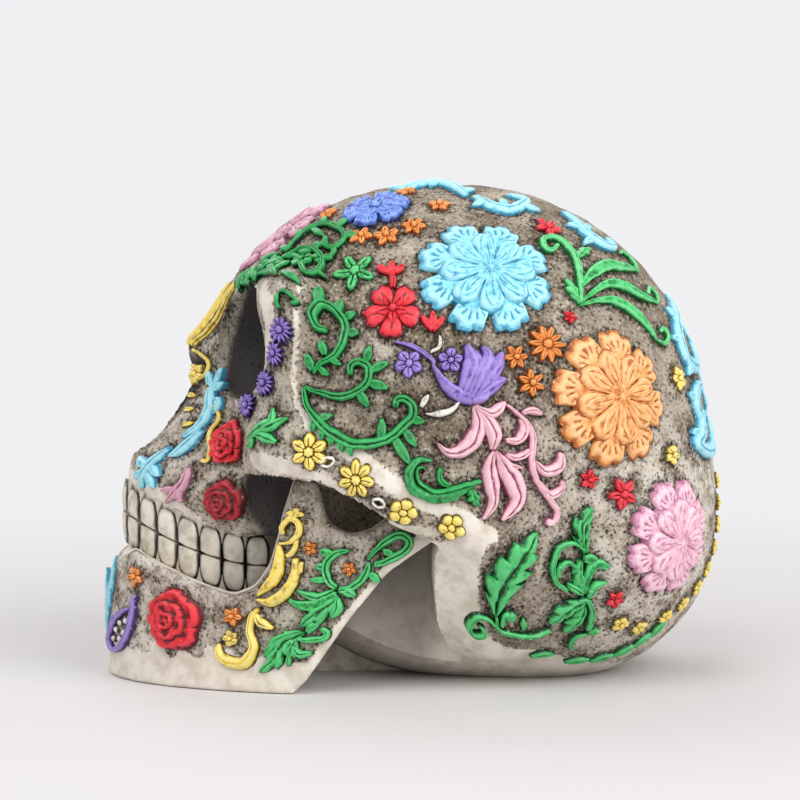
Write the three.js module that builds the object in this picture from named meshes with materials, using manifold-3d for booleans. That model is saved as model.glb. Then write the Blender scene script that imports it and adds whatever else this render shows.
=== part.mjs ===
// Sugar skull: a hollow cast resin skull, dressed with applied relief flowers, leaves and scrolls.
// Millimetres, +Z up. The face looks along -Y and the origin is on the floor under the skull's middle.
import * as THREE from "three";
import { mergeVertices } from "three/addons/utils/BufferGeometryUtils.js";
import Module from "manifold-3d";

const wasm = await Module();
wasm.setup();

// Braincase: three blended ovals with their middles on the skull's mid plane.
const CROWN = { y: 14, z: 69, halfWidth: 63, halfLength: 71, halfHeight: 71 };
const FOREHEAD = { y: -8, z: 88, halfWidth: 50, halfLength: 45, halfHeight: 47 };
const NAPE = { y: 42, z: 42, halfWidth: 52, halfLength: 46, halfHeight: 44.5 };
const BRAINCASE_BLEND = 12;

// Face: ovals and tapering rods of the left half, mirrored to the right.
const MUZZLE = { x: 0, y: -44, z: 54, halfWidth: 31, halfLength: 33, halfHeight: 27 };
const CHEEK = { x: 41, y: -34, z: 68, halfWidth: 13, halfLength: 13, halfHeight: 12 };
const SKULL_BASE = { x: 0, y: -4, z: 46, halfWidth: 31, halfLength: 54, halfHeight: 22 };
const BROW = { from: [6, -43, 107], to: [40, -36, 108], fromRadius: 8, toRadius: 7 };
const NOSE_BRIDGE = { from: [0, -45, 102], to: [0, -60, 93.5], fromRadius: 6, toRadius: 4 };
const SNOUT = { from: [0, -50, 82], to: [0, -64, 56], fromRadius: 10, toRadius: 16.5 };
const ORBIT_RIM = { from: [43, -33, 74], to: [43, -35, 106], fromRadius: 7, toRadius: 7 };
const ARCH_FRONT = { from: [46, -32, 65], to: [54, -8, 58], fromRadius: 8, toRadius: 8 };
const ARCH_BACK = { from: [54, -8, 58], to: [54, 12, 48], fromRadius: 8, toRadius: 8 };
const MASTOID = { from: [47, 20, 44], to: [41, 21, 19], fromRadius: 13, toRadius: 9 };
const FACE_BLEND = 10;

// The form is cast along rays from this point, which the whole surface can see.
const HEART = new THREE.Vector3(0, -8, 72);
const RAY_REACH = 150;
const RAY_STEP = 2;
const SHELL_DETAIL = 11;

// Cuts in the cranium: eye sockets, nose, and the hollows under the cheek arches, as [y, z] outlines.
const ORBIT = { x: 25, y: -49, z: 96, halfWidth: 17.5, halfDepth: 23, halfHeight: 16.3, splay: 24 };
const NOSTRIL = { top: 91, shoulder: 74, widest: 68, sill: 63, halfWidth: 11, front: -100, back: -50 };
const HOLLOW_WALL = 29;
const HOLLOW_SKIN = 3.4;
const ARCH_UNDERSIDE = [[-49, 60], [-41, 61], [-29, 59.5], [-18, 54.8], [-7, 47.4], [4, 42.9]];
const MASTOID_FRONT = [[2.6, 40], [2.8, 30], [4, 20.5], [7.5, 12], [13, 10]];

// Teeth: both rows stand on one oval arch and meet on one bite line.
const TEETH_PER_SIDE = 8;
const TOOTH_ARCH = { y: -42, halfWidth: 29, length: 41.5 };
const TOOTH_THICKNESS = 7;
const TOOTH_OVERLAP = 0.5;
const BITE = { front: -100, back: -38, level: -45, height: 33.5, rise: 13.5, length: 38, bend: 1.6 };
const UPPER_TOOTH = 7.8;
const LOWER_TOOTH = 7.6;

// Mandible: a side outline of [y, z] points cut from a bow, with the chin set back from the bow's front.
const JAW_BOW = { y: 5, halfWidth: 53, length: 92.5 };
const JAW_THICKNESS = 10;
const JAW_SIDES = 48;
const CHIN = [[3, 33], [2, 28], [-0.5, 20], [-2, 13], [-1, 6], [0.5, 0]];
const JAW_CORNER = [-36, 0];
const RAMUS_REAR = [[-32, 4], [-20.5, 21], [-10, 34]];
const CONDYLE = { front: -10, back: 3 };
const JAW_NOTCH = [[-14, 45.5], [-20, 43.8], [-26, 47]];
const CORONOID = { front: -35, back: -29 };
const RAMUS_FRONT = [[-38.5, 49], [-39.5, 44], [-42, 35], [-46, 29]];

// Inside and underneath.
const WALL = 7;
const CAVITY = { front: -14, halfHeight: 58 };
const WEB = { back: 24, halfThickness: 5, top: 40 };
const PLUG = { y: 40, radius: 12, thickness: 5 };
const BOND = 0.3;

// Relief: the glue bed under each ornament and how far it stands off the casting.
const BED = 0.45;
const PETAL_RELIEF = 2.2;
const HEART_RELIEF = 2;
const LEAF_RELIEF = 1.8;
const STEM_RELIEF = 2.1;
const ROSE_RELIEF = 2.4;
const ROSE_BUD_RELIEF = 4.4;
const FLORET_WAIST = 0.55;
const CAST_ROOT = 1;
const ROSE_SHARES = { petalWaist: 0.82, bud: 0.6, budWaist: 0.5, budFoot: 0.45 };

// Paints
const RESIN = { color: 0x8d8272, roughness: 0.8, metalness: 0 };
const IVORY = { color: 0xd9d2c0, roughness: 0.6, metalness: 0 };
const GREEN = { color: 0x1f9e48, roughness: 0.5, metalness: 0 };
const SKY_BLUE = { color: 0x8fd3ea, roughness: 0.5, metalness: 0 };
const ORANGE = { color: 0xf0953f, roughness: 0.5, metalness: 0 };
const PINK = { color: 0xe9a3b8, roughness: 0.5, metalness: 0 };
const RED = { color: 0xd2262e, roughness: 0.5, metalness: 0 };
const PURPLE = { color: 0x9176cf, roughness: 0.5, metalness: 0 };
const YELLOW = { color: 0xf2cc46, roughness: 0.5, metalness: 0 };

const { degToRad, clamp, lerp } = THREE.MathUtils;

// The skull's form, as the distance of a point from its surface.
const ovalDistance = (x, y, z, oval) => {
  const [dx, dy, dz] = [x - (oval.x ?? 0), y - oval.y, z - oval.z];
  const near = Math.hypot(dx / oval.halfWidth, dy / oval.halfLength, dz / oval.halfHeight);
  const slope = Math.hypot(dx / oval.halfWidth ** 2, dy / oval.halfLength ** 2, dz / oval.halfHeight ** 2);
  return slope > 0 ? (near * (near - 1)) / slope : -oval.halfWidth;
};

const rodDistance = (x, y, z, { from, to, fromRadius, toRadius }) => {
  const [ax, ay, az] = [to[0] - from[0], to[1] - from[1], to[2] - from[2]];
  const [px, py, pz] = [x - from[0], y - from[1], z - from[2]];
  const share = clamp((px * ax + py * ay + pz * az) / (ax * ax + ay * ay + az * az), 0, 1);
  return Math.hypot(px - ax * share, py - ay * share, pz - az * share) - lerp(fromRadius, toRadius, share);
};

const blend = (a, b, reach) => {
  const overlap = Math.max(reach - Math.abs(a - b), 0) / reach;
  return Math.min(a, b) - (overlap * overlap * reach) / 4;
};

function skullForm({ x, y, z }) {
  const side = Math.abs(x);
  let form = ovalDistance(side, y, z, CROWN);
  for (const oval of [FOREHEAD, NAPE]) {
    form = blend(form, ovalDistance(side, y, z, oval), BRAINCASE_BLEND);
  }
  for (const oval of [MUZZLE, CHEEK, SKULL_BASE]) {
    form = blend(form, ovalDistance(side, y, z, oval), FACE_BLEND);
  }
  for (const bone of [BROW, NOSE_BRIDGE, SNOUT, ORBIT_RIM, ARCH_FRONT, ARCH_BACK, MASTOID]) {
    form = blend(form, rodDistance(side, y, z, bone), FACE_BLEND);
  }
  return form;
}

// Where a ray from the heart leaves the form grown by `level`.
function castRay(direction, level) {
  const at = (reach) => skullForm(HEART.clone().addScaledVector(direction, reach)) - level;
  let outside = RAY_REACH;
  while (at(outside - RAY_STEP) > 0) outside -= RAY_STEP;
  let inside = outside - RAY_STEP;
  for (let halving = 0; halving < 14; halving++) {
    const middle = (inside + outside) / 2;
    if (at(middle) > 0) outside = middle;
    else inside = middle;
  }
  return HEART.clone().addScaledVector(direction, inside);
}

function castForm(detail, level) {
  const ball = new THREE.IcosahedronGeometry(1, detail);
  const corners = ball.attributes.position;
  const direction = new THREE.Vector3();
  for (let i = 0; i < corners.count; i++) {
    direction.fromBufferAttribute(corners, i).normalize();
    corners.setXYZ(i, ...castRay(direction, level));
  }
  return ball;
}

// Solids
function solid(geometry) {
  const plain = new THREE.BufferGeometry().setAttribute("position", geometry.getAttribute("position"));
  if (geometry.index) plain.setIndex(geometry.index);
  const merged = mergeVertices(plain, 1e-4);
  const vertProperties = merged.attributes.position.array;
  const triVerts = new Uint32Array(merged.index.array);
  return new wasm.Manifold(new wasm.Mesh({ numProp: 3, vertProperties, triVerts }));
}

function geometryOf(made) {
  const { numProp, vertProperties, triVerts } = made.getMesh();
  const points = new THREE.InterleavedBuffer(vertProperties, numProp);
  const geometry = new THREE.BufferGeometry().setIndex(new THREE.BufferAttribute(triVerts, 1));
  geometry.setAttribute("position", new THREE.InterleavedBufferAttribute(points, 3, 0));
  return geometry.toNonIndexed();
}

const joined = (pieces) => pieces.reduce((all, piece) => all.add(piece));
const vectors = (points) => points.map(([a, b]) => new THREE.Vector2(a, b));
const outline = (points) => new THREE.Shape(vectors(points));

// A side outline of [y, z] points as a slab from x = `from` to x = `to`.
const SIDEWAYS = new THREE.Matrix4().set(0, 0, 1, 0, 1, 0, 0, 0, 0, 1, 0, 0, 0, 0, 0, 1);
function slab(points, from, to) {
  const geometry = new THREE.ExtrudeGeometry(outline(points), { depth: to - from, bevelEnabled: false });
  return solid(geometry.applyMatrix4(SIDEWAYS).translate(from, 0, 0));
}

// An upright block with an oval plan.
function ovalBlock(y, halfWidth, halfLength, bottom, top, sides) {
  const geometry = new THREE.CylinderGeometry(1, 1, top - bottom, sides);
  geometry.rotateX(Math.PI / 2).scale(halfWidth, halfLength, 1);
  return solid(geometry.translate(0, y, (top + bottom) / 2));
}

// Lines shared by the castings and the teeth.
const BITE_STEPS = 10;
const BLOCK_REACH = 120;
const BLOCK_FLOOR = -20;
const UNDER_FLOOR = [
  [-BLOCK_REACH, BLOCK_FLOOR],
  [BLOCK_REACH, BLOCK_FLOOR],
  [BLOCK_REACH, 0],
  [-BLOCK_REACH, 0],
];
const biteHeight = (y) => BITE.height + BITE.rise * Math.max((BITE.level - y) / BITE.length, 0) ** BITE.bend;
const biteLine = (lift) =>
  Array.from({ length: BITE_STEPS }, (_, i) => {
    const y = lerp(BITE.front, BITE.back, i / (BITE_STEPS - 1));
    return [y, biteHeight(y) + lift];
  });

function archUnderside(y) {
  const next = ARCH_UNDERSIDE.findIndex(([station]) => station >= y);
  const [[y0, z0], [y1, z1]] = ARCH_UNDERSIDE.slice(next - 1, next + 1);
  return lerp(z0, z1, (y - y0) / (y1 - y0));
}

// Cranium
const throat = BITE.back + 2;
const mouthCut = [...biteLine(UPPER_TOOTH + BOND), [throat, BLOCK_FLOOR], [BITE.front, BLOCK_FLOOR]];
const hollowBack = MASTOID_FRONT.at(-1)[0];
const hollowFront = ARCH_UNDERSIDE[0][0];
const hollowCut = [
  ...ARCH_UNDERSIDE,
  ...MASTOID_FRONT,
  [hollowBack, BLOCK_FLOOR],
  [hollowFront, BLOCK_FLOOR],
];
const hollowSkin = hollowCut.map(([y, z]) => [y + HOLLOW_SKIN, z + HOLLOW_SKIN]);

const orbitCut = (side) =>
  solid(
    new THREE.SphereGeometry(1, 18, 10)
      .scale(ORBIT.halfWidth, ORBIT.halfDepth, ORBIT.halfHeight)
      .rotateZ(side * degToRad(ORBIT.splay))
      .translate(side * ORBIT.x, ORBIT.y, ORBIT.z),
  );

function nostrilCut() {
  const { top, shoulder, widest, sill, halfWidth, front, back } = NOSTRIL;
  const pear = new THREE.Shape().moveTo(0, top);
  pear.quadraticCurveTo(halfWidth, shoulder, halfWidth, widest);
  pear.quadraticCurveTo(halfWidth, sill, 0, sill);
  pear.quadraticCurveTo(-halfWidth, sill, -halfWidth, widest);
  pear.quadraticCurveTo(-halfWidth, shoulder, 0, top);
  const settings = { depth: back - front, bevelEnabled: false, curveSegments: 5 };
  return solid(new THREE.ExtrudeGeometry(pear, settings).rotateX(Math.PI / 2).translate(0, back, 0));
}

function cavity() {
  const length = CROWN.y + CROWN.halfLength - WALL - CAVITY.front;
  const room = new THREE.SphereGeometry(1, 20, 12)
    .rotateX(Math.PI / 2)
    .scale(CROWN.halfWidth - WALL, length / 2, CAVITY.halfHeight)
    .translate(0, CAVITY.front + length / 2, CROWN.z);
  return solid(room)
    .subtract(slab(hollowSkin, HOLLOW_WALL - HOLLOW_SKIN, BLOCK_REACH))
    .subtract(slab(hollowSkin, -BLOCK_REACH, HOLLOW_SKIN - HOLLOW_WALL))
    .add(ovalBlock(PLUG.y, PLUG.radius, PLUG.radius, -1, CROWN.z, 24));
}

const cranium = solid(castForm(SHELL_DETAIL, 0))
  .subtract(slab(UNDER_FLOOR, -BLOCK_REACH, BLOCK_REACH))
  .subtract(slab(mouthCut, -BLOCK_REACH, BLOCK_REACH))
  .subtract(slab(hollowCut, HOLLOW_WALL, BLOCK_REACH))
  .subtract(slab(hollowCut, -BLOCK_REACH, -HOLLOW_WALL))
  .subtract(orbitCut(1))
  .subtract(orbitCut(-1))
  .subtract(nostrilCut())
  .subtract(cavity());

// Teeth
function toothRow(bottomLift, topLift) {
  const inset = TOOTH_THICKNESS / 2;
  const [halfWidth, length] = [TOOTH_ARCH.halfWidth - inset, TOOTH_ARCH.length - inset];
  const arch = new THREE.EllipseCurve(0, TOOTH_ARCH.y, halfWidth, length, Math.PI, 2 * Math.PI);
  const count = 2 * TEETH_PER_SIDE;
  const width = arch.getLength() / count;
  const teeth = Array.from({ length: count }, (_, i) => {
    const place = arch.getPointAt((i + 0.5) / count);
    const heading = arch.getTangentAt((i + 0.5) / count);
    const tooth = new THREE.CylinderGeometry(1, 1, CROWN.z, 8)
      .rotateX(Math.PI / 2)
      .scale(width / 2 + TOOTH_OVERLAP, inset, 1)
      .rotateZ(Math.atan2(heading.y, heading.x))
      .translate(place.x, place.y, CROWN.z / 2);
    return solid(tooth);
  });
  const band = slab([...biteLine(bottomLift), ...biteLine(topLift).reverse()], -BLOCK_REACH, BLOCK_REACH);
  return joined(teeth).intersect(band);
}

// Mandible
const bowFront = JAW_BOW.y - JAW_BOW.length;
const chinLine = CHIN.map(([inset, z]) => [bowFront + inset, z]);
const jawBow = (grow) =>
  ovalBlock(JAW_BOW.y, JAW_BOW.halfWidth + grow, JAW_BOW.length + grow, -1, CROWN.z, JAW_SIDES);

function underArch({ front, back }) {
  const bends = ARCH_UNDERSIDE.map(([y]) => y).filter((y) => y > front && y < back);
  return [back, ...bends.reverse(), front].map((y) => [y, archUnderside(y) - BOND]);
}

const gumFront = chinLine[0][0];
const gumBack = RAMUS_FRONT.at(-1)[0];
const lowerGum = biteLine(-LOWER_TOOTH - BOND).filter(([y]) => y > gumFront && y < gumBack);
const jawOutline = [
  ...lowerGum.reverse(),
  ...chinLine,
  JAW_CORNER,
  ...RAMUS_REAR,
  ...underArch(CONDYLE),
  ...JAW_NOTCH,
  ...underArch(CORONOID),
  ...RAMUS_FRONT,
];
const mandible = slab(jawOutline, -BLOCK_REACH, BLOCK_REACH)
  .intersect(jawBow(0).subtract(jawBow(-JAW_THICKNESS)));

// Web and plug
const bedOnSkull = solid(castForm(SHELL_DETAIL, BOND));
const jawInside = bowFront + JAW_THICKNESS;
const webTop = biteLine(-LOWER_TOOTH - BOND).filter(([y]) => y > jawInside && y < throat);
const webOutline = [
  [jawInside, 0],
  [WEB.back, 0],
  [WEB.back, WEB.top],
  [throat, WEB.top],
  ...webTop.reverse(),
  [jawInside, webTop.at(-1)[1]],
];
const web = slab(webOutline, -WEB.halfThickness, WEB.halfThickness)
  .subtract(bedOnSkull)
  .subtract(jawBow(BOND).subtract(jawBow(-JAW_THICKNESS - BOND)));
const plug = ovalBlock(PLUG.y, PLUG.radius - BOND, PLUG.radius - BOND, 0, PLUG.thickness, 24);

// Surfaces that ornaments drape over: each moves a point onto the casting grown by `level`.
const overSkull = (point, level) => castRay(point.clone().sub(HEART).normalize(), level);
const overJaw = ({ x, y, z }, level) => {
  const dy = y - JAW_BOW.y;
  const share = 1 / Math.hypot(x / (JAW_BOW.halfWidth + level), dy / (JAW_BOW.length + level));
  return new THREE.Vector3(x * share, JAW_BOW.y + dy * share, z);
};

// Places on the castings, each with its own plane: u runs to the back of the head, v up and n out.
// `bed` is the level of the foot of what lies there.
function planeAt(point, n) {
  const v = new THREE.Vector3(0, 0, 1).addScaledVector(n, -n.z).normalize();
  const u = new THREE.Vector3().crossVectors(v, n);
  return new THREE.Matrix4().makeBasis(u, v, n).setPosition(point);
}

function onSkull(turn, rise, bed = BED) {
  const direction = new THREE.Vector3().setFromSphericalCoords(1, degToRad(90 - rise), degToRad(turn));
  direction.set(direction.x, -direction.z, direction.y);
  const point = castRay(direction, 0);
  const n = new THREE.Vector3();
  for (const axis of ["x", "y", "z"]) {
    const [ahead, behind] = [point.clone(), point.clone()];
    ahead[axis] += 0.2;
    behind[axis] -= 0.2;
    n[axis] = skullForm(ahead) - skullForm(behind);
  }
  return { plane: planeAt(point, n.normalize()), over: overSkull, bed };
}

function onJaw(y, z) {
  const along = (y - JAW_BOW.y) / JAW_BOW.length;
  const x = JAW_BOW.halfWidth * Math.sqrt(Math.max(1 - along * along, 0));
  const n = new THREE.Vector3(x / JAW_BOW.halfWidth ** 2, along / JAW_BOW.length, 0).normalize();
  return { plane: planeAt(new THREE.Vector3(x, y, z), n), over: overJaw, bed: BED };
}

// A flat piece with its foot at 0 and its top at 1, laid over the casting between two levels.
function draped(geometry, { plane, over }, bed, top) {
  const corners = geometry.attributes.position;
  for (let i = 0; i < corners.count; i++) {
    const level = lerp(bed, top, corners.getZ(i));
    const point = new THREE.Vector3(corners.getX(i), corners.getY(i), 0).applyMatrix4(plane);
    corners.setXYZ(i, ...over(point, level));
  }
  return solid(geometry);
}

function plate(shape, place) {
  const geometry = new THREE.ExtrudeGeometry(shape, { depth: 1, bevelEnabled: false, curveSegments: 3 });
  return draped(geometry, place, place.bed, LEAF_RELIEF);
}

// Pieces of ornament, in the plane of their place.
function flower(place, size) {
  const { petals, radius, waist, roll = 0, u = 0, v = 0, bed = place.bed, top = PETAL_RELIEF } = size;
  const profile = vectors([[0, 0], [0.55, 0], [1, 0], [1, 1], [0.55, 1], [0, 1]]);
  const disc = new THREE.LatheGeometry(profile, petals * 3).rotateX(Math.PI / 2);
  const corners = disc.attributes.position;
  for (let i = 0; i < corners.count; i++) {
    const [x, y] = [corners.getX(i), corners.getY(i)];
    const angle = Math.atan2(y, x);
    const reach = Math.hypot(x, y) * lerp(waist, radius, Math.abs(Math.sin((petals * angle) / 2)) ** 0.6);
    const turned = angle + degToRad(roll);
    corners.setXYZ(i, u + reach * Math.cos(turned), v + reach * Math.sin(turned), corners.getZ(i));
  }
  return draped(disc, place, bed, top);
}

function leaf(place, [u0, v0], [u1, v1], width) {
  const [u, v] = [(u0 + u1) / 2, (v0 + v1) / 2];
  const lean = width / Math.hypot(u1 - u0, v1 - v0);
  const [sideU, sideV] = [(v0 - v1) * lean, (u1 - u0) * lean];
  const shape = new THREE.Shape().moveTo(u0, v0);
  shape.quadraticCurveTo(u - sideU, v - sideV, u1, v1);
  shape.quadraticCurveTo(u + sideU, v + sideV, u0, v0);
  return plate(shape, place);
}

function scroll(place, width, points, taper = 0.5) {
  const spine = new THREE.SplineCurve(vectors(points));
  const steps = points.length < 5 ? 2 * points.length - 2 : points.length - 1;
  const across = width > 5 ? 2 : 1;
  const band = new THREE.BoxGeometry(1, width, 1, steps, across).translate(0.5, 0, 0.5);
  const corners = band.attributes.position;
  for (let i = 0; i < corners.count; i++) {
    const along = corners.getX(i);
    const spot = spine.getPoint(along);
    const heading = spine.getTangent(along);
    const aside = corners.getY(i) * lerp(taper, 1, Math.sin(Math.PI * along) ** 0.7);
    corners.setXY(i, spot.x - heading.y * aside, spot.y + heading.x * aside);
  }
  return draped(band, place, place.bed, STEM_RELIEF);
}

function floret(place, radius, petals) {
  const points = Array.from({ length: 2 * petals }, (_, i) => {
    const reach = i % 2 ? radius * FLORET_WAIST : radius;
    const angle = (i * Math.PI) / petals;
    return [reach * Math.cos(angle), reach * Math.sin(angle)];
  });
  return plate(outline(points), place);
}

const blade = (place, points) => plate(outline(points), place);

function rose(place, radius) {
  const { petalWaist, bud, budWaist, budFoot } = ROSE_SHARES;
  const petals = { petals: 5, radius, waist: radius * petalWaist, top: ROSE_RELIEF };
  const core = { petals: 4, radius: radius * bud, waist: radius * budWaist, top: ROSE_BUD_RELIEF };
  return flower(place, petals).add(flower(place, { ...core, bed: ROSE_RELIEF * budFoot }));
}

// Assembly
const skull = new THREE.Group();
function add(name, made, paint) {
  const mesh = new THREE.Mesh(geometryOf(made), new THREE.MeshStandardMaterial(paint));
  mesh.name = name;
  skull.add(mesh);
  return mesh;
}

function addPair(name, made, paint) {
  add("left_" + name, made, paint);
  add("right_" + name, made, paint).scale.x = -1;
}

function addFlower(put, name, place, paint, { petals, radius, waist, heart, heartWaist, roll = 0 }) {
  put(name + "_petals", flower(place, { petals, radius, waist, roll }), paint);
  const bed = PETAL_RELIEF + BED;
  const inner = { petals, radius: heart, waist: heartWaist, roll: roll + 180 / petals };
  put(name + "_heart", flower(place, { ...inner, bed, top: bed + HEART_RELIEF }), paint);
}

// Small relief cast with the cranium, given for the left side. Florets are [turn, rise, radius, petals].
const FLORETS = [
  [43.2, 68.8, 3, 5], [76, 56.8, 3.6, 5], [87.5, 56, 3.9, 5], [99.9, 58.2, 3.7, 5], [117.9, 64.3, 3.3, 5],
  [110.6, 76.6, 3.2, 5], [126.2, 19.6, 3, 6], [118.6, 17.4, 3.2, 5], [120.9, 11.3, 3.4, 5],
  [145.9, 46.4, 4, 5],
  [132.4, -9.2, 2, 5], [139.3, -11.7, 2, 5], [141.9, -31.1, 2, 5], [93.2, 18.5, 2, 5], [103.3, 18.4, 2.8, 5],
  [67.5, -3.8, 4.8, 6], [79.7, -10.3, 5, 6], [90.8, -17.8, 4, 5], [103, -20.1, 3.8, 5], [158, 9.1, 3.4, 5],
  [152.2, -4.3, 2.5, 5], [147.2, -35.6, 2.3, 5], [151.7, -35.1, 2.3, 5], [7.3, 14.5, 3, 5], [76, 45, 5, 5],
  [81.2, 69.2, 9, 6], [58.2, 25.6, 3.4, 6], [55.7, 20.7, 3.2, 6], [49.4, 13.6, 3.4, 6], [37.5, 7.8, 3.2, 6],
];
const castOn = (turn, rise) => onSkull(turn, rise, -CAST_ROOT);
const castRelief = joined([
  ...FLORETS.map(([turn, rise, radius, petals]) => floret(castOn(turn, rise), radius, petals)),
  leaf(castOn(56.5, 1.9), [-5, -3.5], [5.5, 3.5], 5),
  leaf(castOn(21.7, -13.8), [-4, -4.5], [4.5, 5], 4),
  leaf(castOn(100.2, 28.3), [0, -2.5], [0, 3.4], 3),
  scroll(castOn(138.9, 70.2), 3, [[-9, -2], [-4, 2], [2, 3], [7, 1]]),
  scroll(castOn(143.8, 57.2), 3, [[-8, 2], [-3, -1.5], [3, -1.5], [8, 1]]),
  scroll(castOn(156.8, 40.3), 3, [[-7, 6], [-3, 3], [0, 0]]),
  scroll(castOn(17.4, 4), 3, [[4, 12], [2, 7], [3.5, 2], [2, -4], [-2, -8]]),
  scroll(castOn(12.6, -10), 3, [[4, 4], [-1, 2], [-4, -1]]),
]);
add("cranium", cranium.add(castRelief).add(castRelief.mirror([1, 0, 0])), RESIN);
add("mandible", mandible, RESIN);
add("upper_teeth", toothRow(BOND / 2, UPPER_TOOTH), IVORY);
add("lower_teeth", toothRow(-LOWER_TOOTH, -BOND / 2), IVORY);
add("web", web, RESIN);
add("base_plug", plug, RESIN);

// Large two-layer flowers
const BIG_FLOWER = { petals: 8, radius: 19, waist: 12, heart: 13.6, heartWaist: 10 };
addFlower(addPair, "crown_flower", onSkull(118, 39), SKY_BLUE, BIG_FLOWER);
addFlower(addPair, "parietal_flower", onSkull(139, 7), ORANGE, { ...BIG_FLOWER, roll: 10 });
addFlower(addPair, "nape_flower", onSkull(152, -19), PINK, { ...BIG_FLOWER, radius: 16.5, heart: 12 });
addFlower(add, "forehead_flower", onSkull(0, 62), PINK, { ...BIG_FLOWER, radius: 17, heart: 12.2 });

// Roses
addPair("cheek_rose", rose(onSkull(33, -4), 6.5), RED);
addPair("lip_rose", rose(onSkull(33, -20), 6), RED);
addPair("chin_rose", rose(onJaw(-68, 19), 9), RED);

// Orchid and bell flower of the temple
const orchidPlace = onSkull(89, 33);
const orchid = [
  flower(orchidPlace, { petals: 5, radius: 8, waist: 5.5, roll: -90 }),
  scroll(orchidPlace, 2.5, [[0, 5], [0, 9], [-1, 13]], 0.8),
  flower(orchidPlace, { petals: 3, radius: 3.4, waist: 2, roll: 90, u: -1, v: 13, top: LEAF_RELIEF }),
];
addPair("temple_orchid", joined(orchid), RED);
const BELL = [
  [-4, -5.5], [3.5, -6], [4, -3], [8.5, 0], [6.5, 3], [8, 7],
  [4, 6.5], [2, 9.5], [-2, 9.5], [-0.5, 3], [-5.5, 0],
];
const bellPlace = onSkull(108, 14);
const bell = [
  blade(bellPlace, BELL),
  scroll(bellPlace, 2, [[-20, 10], [-15, 8], [-11.5, 5.5], [-9, 2], [-6, -2], [-3, -4.5]], 0.8),
];
addPair("bell_flower", joined(bell), PURPLE);

// Pink leaves and their tendril
const UPPER_PINK_LEAF = [
  [-6, 12], [-5.5, 7], [-9.5, 2], [-15.5, 2], [-10.5, -2.5], [-6, -0.5],
  [0, 0], [1, 4.5], [0, 8], [3, 10], [2, 13],
];
const LOWER_PINK_LEAF = [
  [-1.5, 1], [-3, -5], [-0.5, -11], [-3, -18.5], [1, -15.5], [2, -19],
  [7, -15], [8, -11], [6.5, -7], [4, -4], [1, 2],
];
const pinkPlace = onSkull(112, -3);
const pinkLeaves = [
  blade(pinkPlace, UPPER_PINK_LEAF),
  blade(pinkPlace, LOWER_PINK_LEAF),
];
addPair("pink_leaves", joined(pinkLeaves), PINK);
const TENDRIL = [
  [-6, 15], [-1, 10], [-1, 5], [-1.5, 1.5], [0.5, -3.5], [2.5, -7], [6, -10.5], [6.5, -14], [5, -16],
];
const tendrilPlace = onSkull(121, -6);
const tendril = [
  scroll(tendrilPlace, 1.8, TENDRIL),
  scroll(tendrilPlace, 1.6, [[-2.5, 12], [-3.5, 8.5], [-5.5, 6.5]]),
  scroll(tendrilPlace, 1.8, [[-1, 0], [3, -2], [6, -0.5], [7, 2.5]]),
  scroll(tendrilPlace, 1.8, [[2, -7], [6.5, -9], [9.5, -8], [9.5, -5]]),
];
addPair("pink_tendril", joined(tendril), PINK);

// Green sprigs of the temple
const SPRIG = [[-6, -10], [-3.5, -7], [0.5, -4.5], [2.5, 0], [2.5, 4], [0, 7.5], [-3, 8], [-5, 5], [-4, 2]];
const sprigPlace = onSkull(72, 26);
const sprig = [
  scroll(sprigPlace, 2, SPRIG),
  leaf(sprigPlace, [-4, 6], [-3.5, 13], 2.4),
  leaf(sprigPlace, [0.5, 6], [1.5, 11.5], 2.4),
  leaf(sprigPlace, [2, 1.5], [7, 1], 2.4),
  leaf(sprigPlace, [-1.5, -6.5], [-3.5, -1], 2.4),
];
addPair("temple_sprig", joined(sprig), GREEN);
const BRANCH = [[-12, 4.5], [-6, 3.5], [-2, 3.5], [2, 5.5], [4, 8], [4, 11.5], [1.5, 13], [-1, 12]];
const GARLAND = [
  [-13, 5.5], [-12, 1], [-9.5, -2.5], [-5.5, -6], [-1, -8.5],
  [5, -9], [11, -7], [17, -1.5], [17, 1.5], [13, 3],
];
const garlandPlace = onSkull(78, 7);
const garland = [
  scroll(garlandPlace, 2, BRANCH),
  scroll(garlandPlace, 2.4, GARLAND),
  leaf(garlandPlace, [3, 10], [10, 13.5], 2.6),
  leaf(garlandPlace, [3, 7], [10, 6], 2.6),
  leaf(garlandPlace, [8, -9], [8.5, -2], 2.6),
  leaf(garlandPlace, [14, -4], [18.5, -9.5], 2.8),
  leaf(garlandPlace, [11, -6.5], [16, -13], 2.8),
];
addPair("temple_garland", joined(garland), GREEN);
const ARCH_SCROLL = [
  [-4, 5], [-6.5, 4.5], [-8, 1.5], [-6.5, -2], [-3, -3.5], [1.5, -3.5], [5.5, -2.5], [10.5, 0],
];
const archPlace = onSkull(100, -9);
const archScroll = [
  scroll(archPlace, 2.6, ARCH_SCROLL),
  scroll(archPlace, 1.8, [[2, -3], [0, -0.5], [0, 2]]),
];
addPair("arch_scroll", joined(archScroll), GREEN);

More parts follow.
